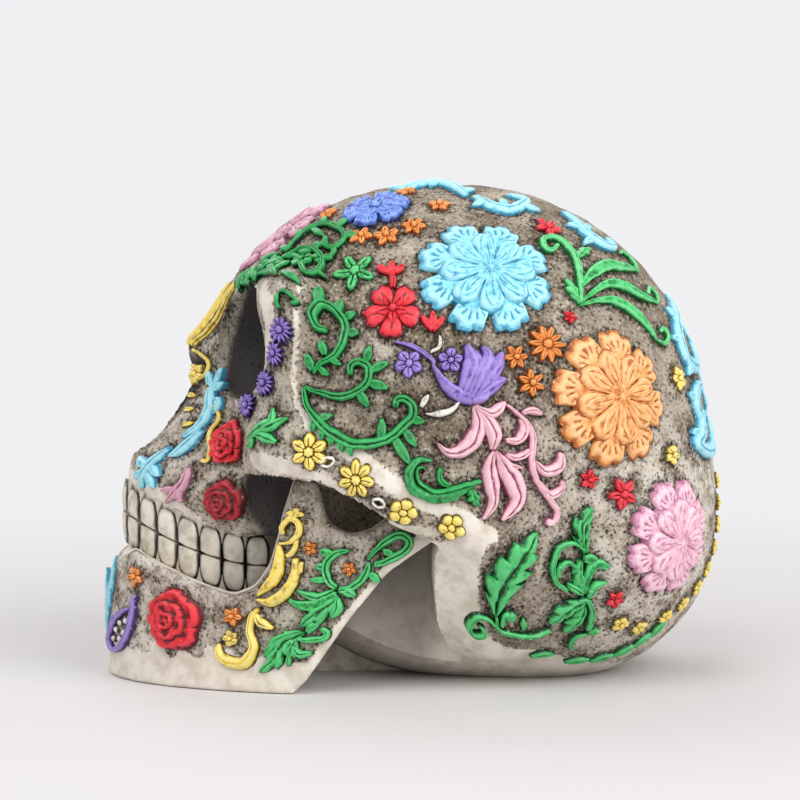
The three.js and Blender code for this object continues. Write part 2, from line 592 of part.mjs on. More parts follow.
// Green sprays of the back of the head
const palmPlace = onSkull(147, 29);
const palm = [
  scroll(palmPlace, 3.4, [[-12, -4], [-7.5, 2.5], [-0.5, 7], [9.5, 8.5], [19, 8]], 0.3),
  scroll(palmPlace, 3, [[-12, -5], [-4.5, 0], [4.5, 1], [11, -1], [20, -4]], 0.3),
  scroll(palmPlace, 2.8, [[-12.5, -5], [-6.5, -3.5], [0.5, -4], [7, -8], [12, -16]], 0.3),
  scroll(palmPlace, 2, [[-12, -5], [-9.5, 2], [-7, 10], [-6, 15], [-8.5, 18]]),
];
addPair("palm_fronds", joined(palm), GREEN);
const mastoidPlace = onSkull(119, -31);
const mastoidLeaf = [
  scroll(mastoidPlace, 13, [[-4, -12], [-2.5, -6], [-0.5, 0], [2, 6], [5.5, 13.5]], 0.15),
  scroll(mastoidPlace, 2, [[-3, -9], [-0.5, -14], [5, -16], [10, -15.5]]),
];
addPair("mastoid_leaf", joined(mastoidLeaf), GREEN);
const NAPE_LEAF = [[2.5, 4.5], [5, 9], [4.5, 12.5], [5.5, 16.5], [2.5, 18.5], [-1, 17], [-2, 11.5], [1, 10]];
const NAPE_LOOP = [[3, 6], [0, 9], [-3, 9.5], [-5.5, 7.5], [-6.5, 3], [-5, -1.5], [-1.5, -5], [2.5, -6]];
const napePlace = onSkull(132, -28);
const napeScroll = [
  blade(napePlace, NAPE_LEAF),
  scroll(napePlace, 2, NAPE_LOOP),
  scroll(napePlace, 2.2, [[2, -6], [5.5, -8.5], [6, -12], [5.5, -16]]),
  leaf(napePlace, [3, -5], [-4, -15.5], 4.5),
];
addPair("nape_scroll", joined(napeScroll), GREEN);

// Crest over the brows
const browPlace = onSkull(48, 50);
const browCrest = [
  scroll(browPlace, 2.2, [[-6, -6], [-7, 2], [-4, 8], [2, 11], [8, 9], [9, 4], [6, 2]]),
  scroll(browPlace, 2, [[-6, -6], [-2, 0], [4, 2], [8, -2], [7, -6]]),
  leaf(browPlace, [-7, -5], [5, -12], 3.4),
  leaf(browPlace, [-5, -6], [-13, 2], 3.4),
];
addPair("brow_crest", joined(browCrest), GREEN);

// Green acanthus and yellow scrolls of the jaw
const acanthusPlace = onJaw(-23, 30.5);
const acanthus = [
  scroll(acanthusPlace, 2.4, [[6, 4.5], [9, 9], [12.5, 12], [15.5, 12.5], [17, 10]]),
  scroll(acanthusPlace, 2.4, [[7, 6.5], [6, 2.5], [3, -0.5], [-1, -3]]),
  scroll(acanthusPlace, 2.6, [[3, 8.5], [-1, 7], [-2.5, 2.5], [-1.5, -2]]),
  scroll(acanthusPlace, 3, [[-1, -2], [-6, -6], [-10, -6], [-13, -3.5]]),
  leaf(acanthusPlace, [0, -2], [-7, -11], 4),
];
addPair("jaw_acanthus", joined(acanthus), GREEN);
const JAW_LEAF = [[3.5, 5.5], [-1, 1.5], [-6, -2], [-3.5, -2.5], [-7.5, -6.5], [0, -5.5], [4, -3], [5.5, 1]];
addPair("jaw_leaf", blade(onJaw(-37.5, 12.8), JAW_LEAF), GREEN);
const CRESCENT = [
  [0.5, 4], [-1, -4.5], [-6.5, -9], [-7, -11], [-3, -11.5], [1, -9], [3, -4], [3.5, 0], [2.5, 4],
];
const jawScrollPlace = onJaw(-38.7, 37);
const jawScroll = [
  scroll(jawScrollPlace, 2, [[4, 13], [3.5, 10.5], [4.5, 8.5], [4, 6], [2, 2]]),
  blade(jawScrollPlace, CRESCENT),
];
addPair("jaw_scroll", joined(jawScroll), YELLOW);
const JAW_HOOK = [[2.5, 8.5], [1.5, 4], [1.5, -0.5], [1, -4], [-2, -6.5], [-5.5, -6]];
addPair("jaw_hook", scroll(onJaw(-48.3, 15.2), 2.4, JAW_HOOK), YELLOW);

// Ornaments on the mid line
add("nose_plaque", leaf(onSkull(0, 29), [0, 8], [0, -6], 9), YELLOW);
const backPlace = onSkull(180, 4);
const backScroll = [-1, 1].flatMap((side) => [
  scroll(backPlace, 2.4, [[0, 16], [side * 5, 21], [side * 9, 18], [side * 8, 14]]),
  scroll(backPlace, 2.4, [[0, -4], [side * 6, 2], [side * 10, -2], [side * 8, -6]]),
]);
backScroll.push(scroll(backPlace, 3, [[0, 24], [0, 14], [0, 4], [0, -7], [0, -18]]));
add("back_scroll", joined(backScroll), SKY_BLUE);
add("chin_drop", leaf(onJaw(bowFront, 18), [0, 9], [0, -8], 7), SKY_BLUE);

export default skull;
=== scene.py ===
import math

import bmesh
import bpy
import numpy as np
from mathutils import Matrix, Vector, kdtree, noise


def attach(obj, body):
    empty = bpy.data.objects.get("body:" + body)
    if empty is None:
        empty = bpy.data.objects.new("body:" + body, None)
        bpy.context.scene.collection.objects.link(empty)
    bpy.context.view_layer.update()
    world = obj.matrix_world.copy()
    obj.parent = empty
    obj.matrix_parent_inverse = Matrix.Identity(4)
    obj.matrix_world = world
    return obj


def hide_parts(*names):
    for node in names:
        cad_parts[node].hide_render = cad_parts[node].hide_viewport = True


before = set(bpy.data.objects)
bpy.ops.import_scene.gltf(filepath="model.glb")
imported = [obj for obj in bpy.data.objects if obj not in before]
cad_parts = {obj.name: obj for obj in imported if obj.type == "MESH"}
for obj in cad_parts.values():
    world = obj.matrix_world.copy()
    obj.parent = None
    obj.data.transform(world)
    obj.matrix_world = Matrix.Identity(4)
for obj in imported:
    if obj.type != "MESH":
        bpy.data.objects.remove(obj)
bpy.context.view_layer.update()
mm = 0.001
# the same unevenness each run
noise.seed_set(7)

# the skull's form, in mm: ovals as (middle, half sizes, blend), bones as (from, to, two radii)
skull = {
    "heart": (0, -8, 72),
    "reach": 75,
    "ovals": [
        ((0, 14, 69), (63, 71, 71), 0),
        ((0, -8, 88), (50, 45, 47), 12),
        ((0, 42, 42), (52, 46, 44.5), 12),
        ((0, -44, 54), (31, 33, 27), 10),
        ((41, -34, 68), (13, 13, 12), 10),
        ((0, -4, 46), (31, 54, 22), 10),
    ],
    "bones": [
        ((6, -43, 107), (40, -36, 108), 8, 7),
        ((0, -45, 102), (0, -60, 93.5), 6, 4),
        ((0, -50, 82), (0, -64, 56), 10, 16.5),
        ((43, -33, 74), (43, -35, 106), 7, 7),
        ((46, -32, 65), (54, -8, 58), 8, 8),
        ((54, -8, 58), (54, 12, 48), 8, 8),
        ((47, 20, 44), (41, 21, 19), 13, 9),
    ],
    "boneBlend": 10,
    "orbit": {"middle": (25, -49, 96), "half": (17.5, 23, 16.3), "splay": 24},
}
jaw = {"y": 5, "halfWidth": 53, "length": 92.5}
bite = {"level": -45, "height": 33.5, "rise": 13.5, "length": 38, "bend": 1.6}
heart = np.array(skull["heart"], float)


def smooth(x):
    x = np.clip(x, 0, 1)
    return x * x * (3 - 2 * x)


def blendForms(a, b, reach):
    overlap = np.maximum(reach - np.abs(a - b), 0) / reach
    return np.minimum(a, b) - overlap * overlap * reach / 4


def ridge(offset, width):
    return np.exp(-((offset / width) ** 2))


def folded(points):
    # the right side laid on the left one
    return np.concatenate([np.abs(points[:, :1]), points[:, 1:]], axis=1)


def rodDistance(points, start, end, startRadius, endRadius):
    start, run = np.array(start, float), np.subtract(end, start)
    share = np.clip((points - start) @ run / (run @ run), 0, 1)
    away = np.linalg.norm(points - start - share[:, None] * run, axis=1)
    return away - startRadius - (endRadius - startRadius) * share


def skullDistance(points):
    # distance of each point from the skull's surface, minus inside
    q = folded(points)
    form = None
    for middle, half, reach in skull["ovals"]:
        d, s = q - middle, np.array(half, float)
        near = np.linalg.norm(d / s, axis=1)
        oval = near * (near - 1) / np.maximum(np.linalg.norm(d / s**2, axis=1), 1e-9)
        form = oval if form is None else blendForms(form, oval, reach)
    for start, end, startRadius, endRadius in skull["bones"]:
        form = blendForms(form, rodDistance(q, start, end, startRadius, endRadius), skull["boneBlend"])
    return form


def skullSlope(points):
    step = 0.05
    parts = [skullDistance(points + axis) - skullDistance(points - axis) for axis in np.eye(3) * step]
    slope = np.stack(parts, axis=1)
    return slope / np.linalg.norm(slope, axis=1, keepdims=True)


def overSkull(points, level):
    # slides points along rays from the heart until they stand `level` off the skull
    ray = points - heart
    reach = np.linalg.norm(ray, axis=1)
    ray = ray / reach[:, None]
    turns, probe, leastSlope, longestStep = 9, 0.1, 0.25, 6
    for turn in range(turns):
        off = skullDistance(heart + ray * reach[:, None]) - level
        ahead = skullDistance(heart + ray * (reach + probe)[:, None]) - level
        slope = np.maximum((ahead - off) / probe, leastSlope)
        reach = reach - np.clip(off / slope, -longestStep, longestStep)
    return heart + ray * reach[:, None]


def overJaw(points, level):
    dy = points[:, 1] - jaw["y"]
    share = 1 / np.hypot(points[:, 0] / (jaw["halfWidth"] + level), dy / (jaw["length"] + level))
    return np.stack([points[:, 0] * share, jaw["y"] + dy * share, points[:, 2]], axis=1)


def biteHeight(y):
    return bite["height"] + bite["rise"] * np.maximum((bite["level"] - y) / bite["length"], 0) ** bite["bend"]


def placeAt(point, out, over, roll):
    # a tangent plane: u runs to the back and v runs up on the left side
    v = np.array([0, 0, 1.0]) - out * out[2]
    v = v / np.linalg.norm(v)
    u = np.cross(v, out)
    c, s = math.cos(math.radians(roll)), math.sin(math.radians(roll))
    return {"origin": point, "u": u * c + v * s, "v": v * c - u * s, "over": over}


def onSkull(turn, rise, roll=0):
    t, r = math.radians(turn), math.radians(rise)
    ray = np.array([math.sin(t) * math.cos(r), -math.cos(t) * math.cos(r), math.sin(r)])
    point = overSkull((heart + ray * skull["reach"])[None], 0)
    return placeAt(point[0], skullSlope(point)[0], overSkull, roll)


def onJaw(y, z, roll=0):
    along = (y - jaw["y"]) / jaw["length"]
    x = jaw["halfWidth"] * math.sqrt(max(1 - along * along, 0))
    out = np.array([x / jaw["halfWidth"] ** 2, along / jaw["length"], 0])
    return placeAt(np.array([x, y, z]), out / np.linalg.norm(out), overJaw, roll)


# materials


def linear(hexColour):
    parts = [int(hexColour[i : i + 2], 16) / 255 for i in (1, 3, 5)]
    return [c / 12.92 if c <= 0.04045 else ((c + 0.055) / 1.055) ** 2.4 for c in parts] + [1]


def addNode(tree, kind, settings=None, inputs=None):
    node = tree.nodes.new(kind)
    for name, value in (settings or {}).items():
        setattr(node, name, value)
    for name, value in (inputs or {}).items():
        if isinstance(value, bpy.types.NodeSocket):
            tree.links.new(value, node.inputs[name])
        else:
            node.inputs[name].default_value = value
    return node


def newMaterial(name, roughness, specular):
    material = bpy.data.materials.new(name)
    material.use_nodes = True
    tree = material.node_tree
    tree.nodes.clear()
    inputs = {"Roughness": roughness, "IOR": 1.5, "Specular IOR Level": specular}
    shader = addNode(tree, "ShaderNodeBsdfPrincipled", None, inputs)
    addNode(tree, "ShaderNodeOutputMaterial", None, {"Surface": shader.outputs[0]})
    return material, tree, shader


def maths(tree, operation, *values):
    return addNode(tree, "ShaderNodeMath", {"operation": operation}, dict(enumerate(values))).outputs[0]


def between(tree, value, low, high, top=1.0):
    # nothing at `low`, rising smoothly to `top` at `high`
    span = {"Value": value, "From Min": low, "From Max": high, "To Max": top}
    return addNode(tree, "ShaderNodeMapRange", {"interpolation_type": "SMOOTHSTEP"}, span).outputs[0]


def painted(tree, share, under, over):
    under, over = [linear(shade) if isinstance(shade, str) else shade for shade in (under, over)]
    return addNode(tree, "ShaderNodeMix", {"data_type": "RGBA"}, {0: share, 6: under, 7: over}).outputs[2]


def mottled(tree, where, size, detail, roughness=0.5):
    inputs = {"Vector": where, "Scale": 1 / size, "Detail": detail, "Roughness": roughness}
    return addNode(tree, "ShaderNodeTexNoise", None, inputs).outputs[0]


def attribute(tree, name):
    return addNode(tree, "ShaderNodeAttribute", {"attribute_name": name}).outputs["Fac"]


def coat(tree, shader, colour, strength, depth, height):
    tree.links.new(colour, shader.inputs["Base Color"])
    bump = addNode(tree, "ShaderNodeBump", None, {"Strength": strength, "Distance": depth, "Height": height})
    tree.links.new(bump.outputs[0], shader.inputs["Normal"])


# cast resin with a stippled skin: brown wash in the pits, pale paint dry-brushed on the grains
def pittedResin():
    look = {
        "stain": ("#796c5c", "#b2a596"),
        "cream": "#e4dccf",
        "grains": "#ddd5c5",
        "fleck": "#2c2219",
        "bone": "#ede5d9",
        "boneShade": "#d3c9ba",
        # dark paint in the orbits and nostril, painted shade in the hollows and underneath
        "darkPaintAndShade": "#4a4746",
        # painted shadow and brown wash round the relief
        "reliefShadowAndWash": "#251b12",
        "cloud": 17 * mm,
        "brush": 5.5 * mm,
        "grain": 1.0 * mm,
        "pitSpacing": 1.4 * mm,
        "depth": 0.6 * mm,
        "smoothBone": 0.08,
    }
    material, tree, shader = newMaterial("pittedCastResin", 0.85, 0.2)
    where = addNode(tree, "ShaderNodeTexCoord").outputs["Object"]
    bone, pale, darkPaintAndShade, reliefShadowAndWash = [attribute(tree, name) for name in ("bone", "pale", "darkPaintAndShade", "reliefShadowAndWash")]
    details = (("cloud", 3), ("brush", 5), ("grain", 4))
    cloud, brush, grain = [mottled(tree, where, look[name], detail, 0.6) for name, detail in details]
    pores = {"Vector": where, "Scale": 1 / look["pitSpacing"], "Randomness": 1}
    cells = addNode(tree, "ShaderNodeTexVoronoi", None, pores).outputs["Distance"]

    def ragged(mask, grip, low, high):
        # a soft mask broken up by the grain
        lift = maths(tree, "SUBTRACT", grain, 0.5)
        return between(tree, maths(tree, "MULTIPLY_ADD", lift, grip, mask), low, high)

    # stain in clouds, cream brushed over it, pale grains
    colour = painted(tree, between(tree, cloud, 0.35, 0.65), *look["stain"])
    creamy = maths(tree, "MAXIMUM", pale, between(tree, cloud, 0.56, 0.72, 0.5))
    creamy = maths(tree, "MULTIPLY", creamy, between(tree, brush, 0.38, 0.6))
    colour = painted(tree, creamy, colour, look["cream"])
    colour = painted(tree, between(tree, grain, 0.53, 0.7, 0.6), colour, look["grains"])
    # dark wash in the pits, darker near the relief where its painted shadow lies
    pitWashAndShadow = maths(tree, "MAXIMUM", reliefShadowAndWash, between(tree, brush, 0.52, 0.36))
    hole = maths(tree, "MULTIPLY", between(tree, cells, 0.36, 0.14), pitWashAndShadow)
    dark = maths(tree, "MAXIMUM", hole, between(tree, grain, 0.45, 0.35, 0.85))
    colour = painted(tree, dark, colour, look["fleck"])
    # bare bone, dark paint in the orbits with painted shade in the hollows, and painted shadow with brown
    # wash round the relief
    rubbed = painted(tree, between(tree, brush, 0.32, 0.6), look["boneShade"], look["bone"])
    colour = painted(tree, ragged(bone, 1.3, 0.35, 0.7), colour, rubbed)
    colour = painted(tree, darkPaintAndShade, colour, look["darkPaintAndShade"])
    colour = painted(tree, ragged(reliefShadowAndWash, -1.5, 0.3, 1.15), colour, look["reliefShadowAndWash"])
    lumps = maths(tree, "MULTIPLY_ADD", hole, -0.8, grain)
    span = {"Value": bone, "To Min": 1, "To Max": look["smoothBone"]}
    rough = addNode(tree, "ShaderNodeMapRange", None, span).outputs[0]
    coat(tree, shader, colour, rough, look["depth"], lumps)
    return material


# smooth cast resin rubbed back to ivory, with grey-brown wash left between the teeth and painted shade on the
# back teeth
def ivoryResin():
    look = {"ivory": "#e6dfd0", "rubbed": "#bfb5a3", "washAndShading": "#1c1712", "mottle": 3.5 * mm, "depth": 0.3 * mm}
    material, tree, shader = newMaterial("rubbedIvoryResin", 0.5, 0.4)
    where = addNode(tree, "ShaderNodeTexCoord").outputs["Object"]
    mottle = mottled(tree, where, look["mottle"], 5)
    colour = painted(tree, between(tree, mottle, 0.3, 0.6), look["rubbed"], look["ivory"])
    colour = painted(tree, attribute(tree, "washAndShading"), colour, look["washAndShading"])
    coat(tree, shader, colour, 0.2, look["depth"], mottle)
    return material


# hand-brushed acrylic paint: pale on the ridges with painted highlight, pooled and dark in the grooves with
# painted shade, chipped here and there
def acrylicPaint(name, paint, pooledPaintAndShade, ridgePaintAndHighlight):
    look = {"chip": "#ded6c4", "streak": 2.2 * mm, "flake": 1.0 * mm, "depth": 0.25 * mm}
    material, tree, shader = newMaterial(name + "AcrylicPaint", 0.4, 0.45)
    where = addNode(tree, "ShaderNodeTexCoord").outputs["Object"]
    washAndShading = attribute(tree, "washAndShading")
    streak, flake = [mottled(tree, where, look[size], 4) for size in ("streak", "flake")]
    # each layer: what steers it, from and to where it comes in, how strong it gets and its colour
    layers = [
        (streak, 0.4, 0.7, 0.45, ridgePaintAndHighlight),
        (streak, 0.49, 0.33, 0.65, pooledPaintAndShade),
        # pale dry-brush with painted highlight on the ridges, dark wash with painted shade in the grooves and
        # on the walls
        (washAndShading, -0.05, -0.55, 0.65, ridgePaintAndHighlight),
        (washAndShading, 0.05, 0.75, 0.95, pooledPaintAndShade),
        (flake, 0.56, 0.7, 0.45, ridgePaintAndHighlight),
        (flake, 0.69, 0.74, 0.6, look["chip"]),
    ]
    colour = paint
    for steer, low, high, most, shade in layers:
        colour = painted(tree, between(tree, steer, low, high, most), colour, shade)
    coat(tree, shader, colour, 0.4, look["depth"], streak)
    return material


ground = pittedResin()
ivory = ivoryResin()
# paint, pooled in the grooves and their painted shade, thin on the ridges and their painted highlight, and
# the record's slot
paints = {
    "green": ("#12933f", "#021c0c", "#66da88", "green"),
    "deepGreen": ("#0c7434", "#021a0c", "#42bd69", "green"),
    "palmGreen": ("#22b152", "#0a4a22", "#83e8a0", "green"),
    "skyBlue": ("#78d2e8", "#2f86a8", "#bcecf4", "sky_blue"),
    "royalBlue": ("#3f66cc", "#14235a", "#8fb0f0", "sky_blue"),
    "orange": ("#eea053", "#9a4a12", "#f9cd98", "orange"),
    "amber": ("#e27a22", "#6e2c06", "#f6ab62", "orange"),
    "pink": ("#ecb0c6", "#a86285", "#f8d9e3", "pink"),
    "rosePink": ("#e39fb1", "#7c3a53", "#f8d2da", "pink"),
    "mauve": ("#c4819b", "#6b3a4e", "#e0b2c1", "pink"),
    "red": ("#dc1728", "#4a040c", "#ee434e", "red"),
    "deepRed": ("#9a0d1b", "#350308", "#bf2e3a", "red"),
    "purple": ("#7e60bc", "#2c1d57", "#ae99dc", "purple"),
    "yellow": ("#f3cc36", "#3f2d0e", "#fbec98", "yellow"),
    "ivoryPaint": ("#e2dccf", "#3a3128", "#f4f0e6", "ivory"),
}
brushed = {name: acrylicPaint(name, *colours[:3]) for name, colours in paints.items()}
print("materials made")


# relief parts: each is a flat sheet raised to a closed slab and laid over the casting, in mm
relief = {
    # how deep a slab is set in, and its least height
    "bed": -0.7,
    "least": 0.15,
    # unevenness of hand work: outlines sway and heights swell over one spacing, and grit over another
    "swaySize": 2.3,
    "sway": 0.25,
    "swell": 0.08,
    "gritSize": 0.9,
    "grit": 0.05,
    # grooves this deep below the blurred top get all of the dark wash and painted shade
    "blurTurns": 4,
    "grooveDepth": 0.13,
    "sharp": math.radians(55),
}
footprints = []


def curveAt(values, share):
    # a smooth curve through evenly spaced values
    p = np.array(values, float)
    p = np.concatenate([2 * p[:1] - p[1:2], p, 2 * p[-1:] - p[-2:-1]])
    at = np.clip(share, 0, 1) * (len(p) - 3)
    i = np.minimum(at.astype(int), len(p) - 4)
    f = (at - i).reshape(-1, *[1] * (p.ndim - 1))
    a, b, c, d = p[i], p[i + 1], p[i + 2], p[i + 3]
    return 0.5 * (2 * b + (c - a) * f + (2 * a - 5 * b + 4 * c - d) * f**2 + (3 * b - a - 3 * c + d) * f**3)


def pathAt(points, share):
    # a smooth line through the points by its length: place, heading and length
    line = curveAt(points, np.linspace(0, 1, 24 * len(points)))
    run = np.concatenate([[0], np.cumsum(np.linalg.norm(np.diff(line, axis=0), axis=1))])
    at = []
    for s in (share, share - 0.01, share + 0.01):
        at.append(np.stack([np.interp(s * run[-1], run, line[:, k]) for k in (0, 1)]))
    heading = at[2] - at[1]
    return at[0], heading / np.maximum(np.hypot(*heading), 1e-9), run[-1]


def scroll(points, width, height=2.0, start=0.4, end=0.8, groove=0.3, ball=0.0):
    # a round band along a line: start and end as shares of its width, a groove, a ball at the end
    length = pathAt(points, np.zeros(1))[2]

    def shape(x, y):
        t = (x + 1) / 2
        (u, v), (du, dv), _ = pathAt(points, t)
        tip = np.clip(np.minimum(t, 1 - t) * length / (width * 0.45), 0, 1)
        half = width / 2 * (start + (1 - start) * smooth(t / 0.35))
        half = half * (end + (1 - end) * smooth((1 - t) / 0.3))
        half = half * (1 + ball * np.exp(-(((1 - t) * length / width - 0.55) ** 2) * 5))
        half = np.maximum(half * np.sqrt(1 - (1 - tip) ** 2), 0.1)
        rise = height * (0.2 + 0.8 * np.sqrt(1 - 0.97 * y * y)) * (0.5 + 0.5 * tip)
        rise = rise - groove * ridge(y, 0.3) * tip
        return u - dv * half * y, v + du * half * y, rise

    return {"strip": (max(10, int(length / 0.7)), 8), "shape": shape}


def frond(spine, half, height=2.0, rib=0.5, rim=0.0, saw=0, folds=0):
    # a blade along a line, by its half widths from base to tip: a groove or ridge down the middle,
    # raised rims, saw teeth that lean to the tip, lengthwise folds
    length = pathAt(spine, np.zeros(1))[2]

    def shape(x, y):
        t = (x + 1) / 2
        (u, v), (du, dv), _ = pathAt(spine, t)
        e = np.abs(y)
        wide = np.maximum(curveAt(half, t), 0.12)
        forward = np.zeros_like(t)
        rise = height * (1 - 0.78 * e**3) * (0.5 + 0.5 * np.sin(np.pi * np.clip(t, 0, 1)) ** 0.5)
        if saw:
            tooth = (t * saw) % 1
            wide = wide * (0.6 + 0.45 * tooth**0.8)
            forward = 0.6 * length / saw * tooth * e * e * (1 - t)
            rise = rise - 0.22 * (1 - np.cos(2 * np.pi * (t * saw - 0.8 * e))) * e**0.5
        if folds:
            rise = rise - 0.28 * (1 - np.cos(2 * np.pi * folds * y)) * smooth((1 - e) / 0.3)
        rise = rise - rib * ridge(y, 0.2) * (1 - 0.5 * t)
        rise = rise + rim * (ridge(e - 0.8, 0.18) - 0.8 * ridge(y, 0.5))
        return u - dv * wide * y + du * forward, v + du * wide * y + dv * forward, rise

    return {"strip": (max(12, int(length / 0.6), 9 * saw), 12), "shape": shape}


def bud(u0, v0, radius, height=1.8):
    # a round bead
    def shape(x, y):
        r = np.hypot(x, y)
        dome = np.sqrt(np.maximum(1 - 0.96 * r * r, 0))
        return u0 + x * radius, v0 + y * radius, height * (0.3 + 0.7 * dome)

    return {"disc": (5, 18), "shape": shape}


def petalShare(x, y, petals):
    # distance from the middle, and where across its petal a point lies, from -1 to 1
    return np.hypot(x, y), ((np.arctan2(y, x) * petals / (2 * np.pi)) % 1) * 2 - 1


def floret(radius, petals, height, depth, roundness, crease, boss, notch=0.0):
    # small flower: gaps between the petals, a crease and two veins down each, a boss in a ring groove
    def shape(x, y):
        r, a = petalShare(x, y, petals)
        e, th = np.abs(a), np.arctan2(y, x)
        free = smooth((r - 0.12) / 0.25)
        reach = radius * r * (1 - depth * e**roundness * smooth(r / 0.6))
        reach = reach * (1 - notch * ridge(a, 0.2) * smooth((r - 0.5) / 0.5))
        rise = height * (1 - 0.65 * free * e**2) * (0.8 + 0.2 * smooth(r))
        rise = rise - crease * ridge(a, 0.2) * smooth((r - 0.2) / 0.15) * smooth((0.92 - r) / 0.2)
        rise = rise - 0.4 * crease * ridge(e - 0.45, 0.12) * smooth((r - 0.4) / 0.15)
        rise = rise + boss * np.exp(-((r / 0.2) ** 4)) - 0.35 * ridge(r - 0.28, 0.07)
        rise = rise * (1 - 0.65 * smooth((r - 0.72) / 0.28))
        return reach * np.cos(th), reach * np.sin(th), rise

    return {"disc": (11, petals * 12), "shape": shape}


def fanPetals(radius, petals, thin):
    # outer ring: broad petals with a scalloped edge, a pointed tip and fine slits that fan from their feet
    def shape(x, y):
        r, a = petalShare(x, y, petals)
        e, th = np.abs(a), np.arctan2(y, x)
        edge = 1 - 0.05 * ridge(e - 0.34, 0.09) - 0.04 * smooth((e - 0.25) / 0.2)
        edge = edge - 0.34 * smooth((e - 0.66) / 0.32)
        reach = radius * r * (1 + (edge - 1) * smooth((r - 0.3) / 0.5))
        along = reach * np.cos(a * np.pi / petals) - 0.55 * radius
        across = reach * np.sin(a * np.pi / petals)
        fan, away = np.arctan2(across, along), np.hypot(across, along) / radius
        slit = (0.5 + 0.5 * np.cos(fan * 14)) ** 3 * smooth((1.0 - np.abs(fan)) / 0.2)
        out = smooth((r - 0.45) / 0.2)
        rise = 1.5 + 0.5 * out - 1.2 * smooth((e - 0.78) / 0.2) * out
        rise = rise - 0.6 * slit * smooth((away - 0.14) / 0.04) * smooth((0.31 - away) / 0.06)
        rise = rise + 0.25 * np.cos(fan * 7) * smooth((away - 0.3) / 0.1)
        rise = rise * (1 - 0.6 * smooth((r - 0.86) / 0.14))
        return reach * np.cos(th), reach * np.sin(th), thin * rise

    return {"disc": (32, petals * 32), "shape": shape}


def rosette(radius, petals, lift, thin):
    # inner ring: broad petals, each with a creased drop that runs to the middle
    def shape(x, y):
        r, a = petalShare(x, y, petals)
        e, th = np.abs(a), np.arctan2(y, x)
        out = smooth((r - 0.2) / 0.15)
        reach = radius * r * (1 - 0.3 * e**2.6 * smooth((r - 0.4) / 0.4))
        across = r * np.sin(a * np.pi / petals)
        rise = lift + 1.3 - 1.9 * out * ridge(1 - e, 0.15) + 0.25 * smooth((r - 0.5) / 0.3)
        tip = np.sqrt(np.clip(1 - (np.maximum(r - 0.5, 0) / 0.36) ** 2, 0, 1))
        wide = (0.035 + 0.11 * smooth((r - 0.12) / 0.5)) * tip
        drop = smooth((wide - np.abs(across)) / 0.04)
        crease = 0.4 * ridge(across, 0.016) * smooth((r - 0.12) / 0.1) * smooth((0.72 - r) / 0.2)
        rise = rise + 0.55 * drop - crease + 0.5 * ridge(r, 0.07)
        rise = rise * (1 - 0.4 * smooth((r - 0.86) / 0.14))
        return reach * np.cos(th), reach * np.sin(th), thin * rise

    return {"disc": (28, petals * 26), "shape": shape}


def rose(radius, height):
    # rings of cupped petals round a bud: petals, distance, size, height, turn
    rings = [(6, 0.66, 0.36, 0.55, 0.3), (5, 0.38, 0.27, 0.78, 0.8), (3, 0.13, 0.18, 0.98, 0.3)]

    def shape(x, y):
        r, th = np.hypot(x, y), np.arctan2(y, x)
        wave = 1 - 0.12 * np.abs(np.sin(2.5 * (th - 0.3))) ** 3
        px, py = r * wave * np.cos(th), r * wave * np.sin(th)
        rise = np.full_like(r, 0.26)
        for petals, away, size, top, turn in rings:
            for k in range(petals):
                angle = turn + 2 * np.pi * k / petals
                du, dv = px - away * np.cos(angle), py - away * np.sin(angle)
                out = du * np.cos(angle) + dv * np.sin(angle)
                across = -du * np.sin(angle) + dv * np.cos(angle)
                d = np.hypot(out / (size * 0.8), across / (size * 1.1))
                cupped = top * (0.72 + 0.28 * smooth(d / 0.75)) + 0.08 * np.clip(out / size, -1, 1)
                rise = np.maximum(rise, cupped * smooth((1.08 - d) / 0.16))
        rise = rise * (1 - 0.5 * smooth((r - 0.88) / 0.12))
        return radius * px, radius * py, height * rise

    return {"disc": (26, 110), "shape": shape}


def leaf(base, tip, width, height=1.9, bend=0.0, rib=0.0, rim=0.35):
    # a small blade from base to tip, its middle moved aside by the bend
    base, run = np.array(base, float), np.subtract(tip, base)
    middle = base + run / 2 + bend * np.array([-run[1], run[0]]) / np.hypot(*run)
    return frond([base, middle, tip], [0.25 * width, 0.5 * width, 0.12 * width], height, rib, rim)


def leaves(rows, height=1.9):
    # several leaves, each by its base, tip, width and perhaps its bend
    return [leaf(row[:2], row[2:4], row[4], height, *row[5:]) for row in rows]


def flatSheet(bm, part):
    # a grid or a disc with a lower and an upper sheet, and walls between them
    if "strip" in part:
        along, across = part["strip"]
        bmesh.ops.create_grid(bm, x_segments=along, y_segments=across, size=1)
    else:
        rings, rays = part["disc"]
        spoke = [bm.verts.new((k / rings, 0, 0)) for k in range(rings + 1)]
        edges = [bm.edges.new(pair) for pair in zip(spoke, spoke[1:])]
        full = {"cent": (0, 0, 0), "axis": (0, 0, 1), "angle": 2 * math.pi, "use_merge": True}
        bmesh.ops.spin(bm, geom=spoke + edges, steps=rays, **full)
        fresh = [v for v in bm.verts if not v.tag]
        bmesh.ops.remove_doubles(bm, verts=fresh, dist=0.0001)
    sheet = [f for f in bm.faces if not f.tag]
    lifted = bmesh.ops.extrude_face_region(bm, geom=sheet, use_keep_orig=True)["geom"]
    for v in lifted:
        if isinstance(v, bmesh.types.BMVert):
            v.co.z = 1
    return [v for v in bm.verts if not v.tag]


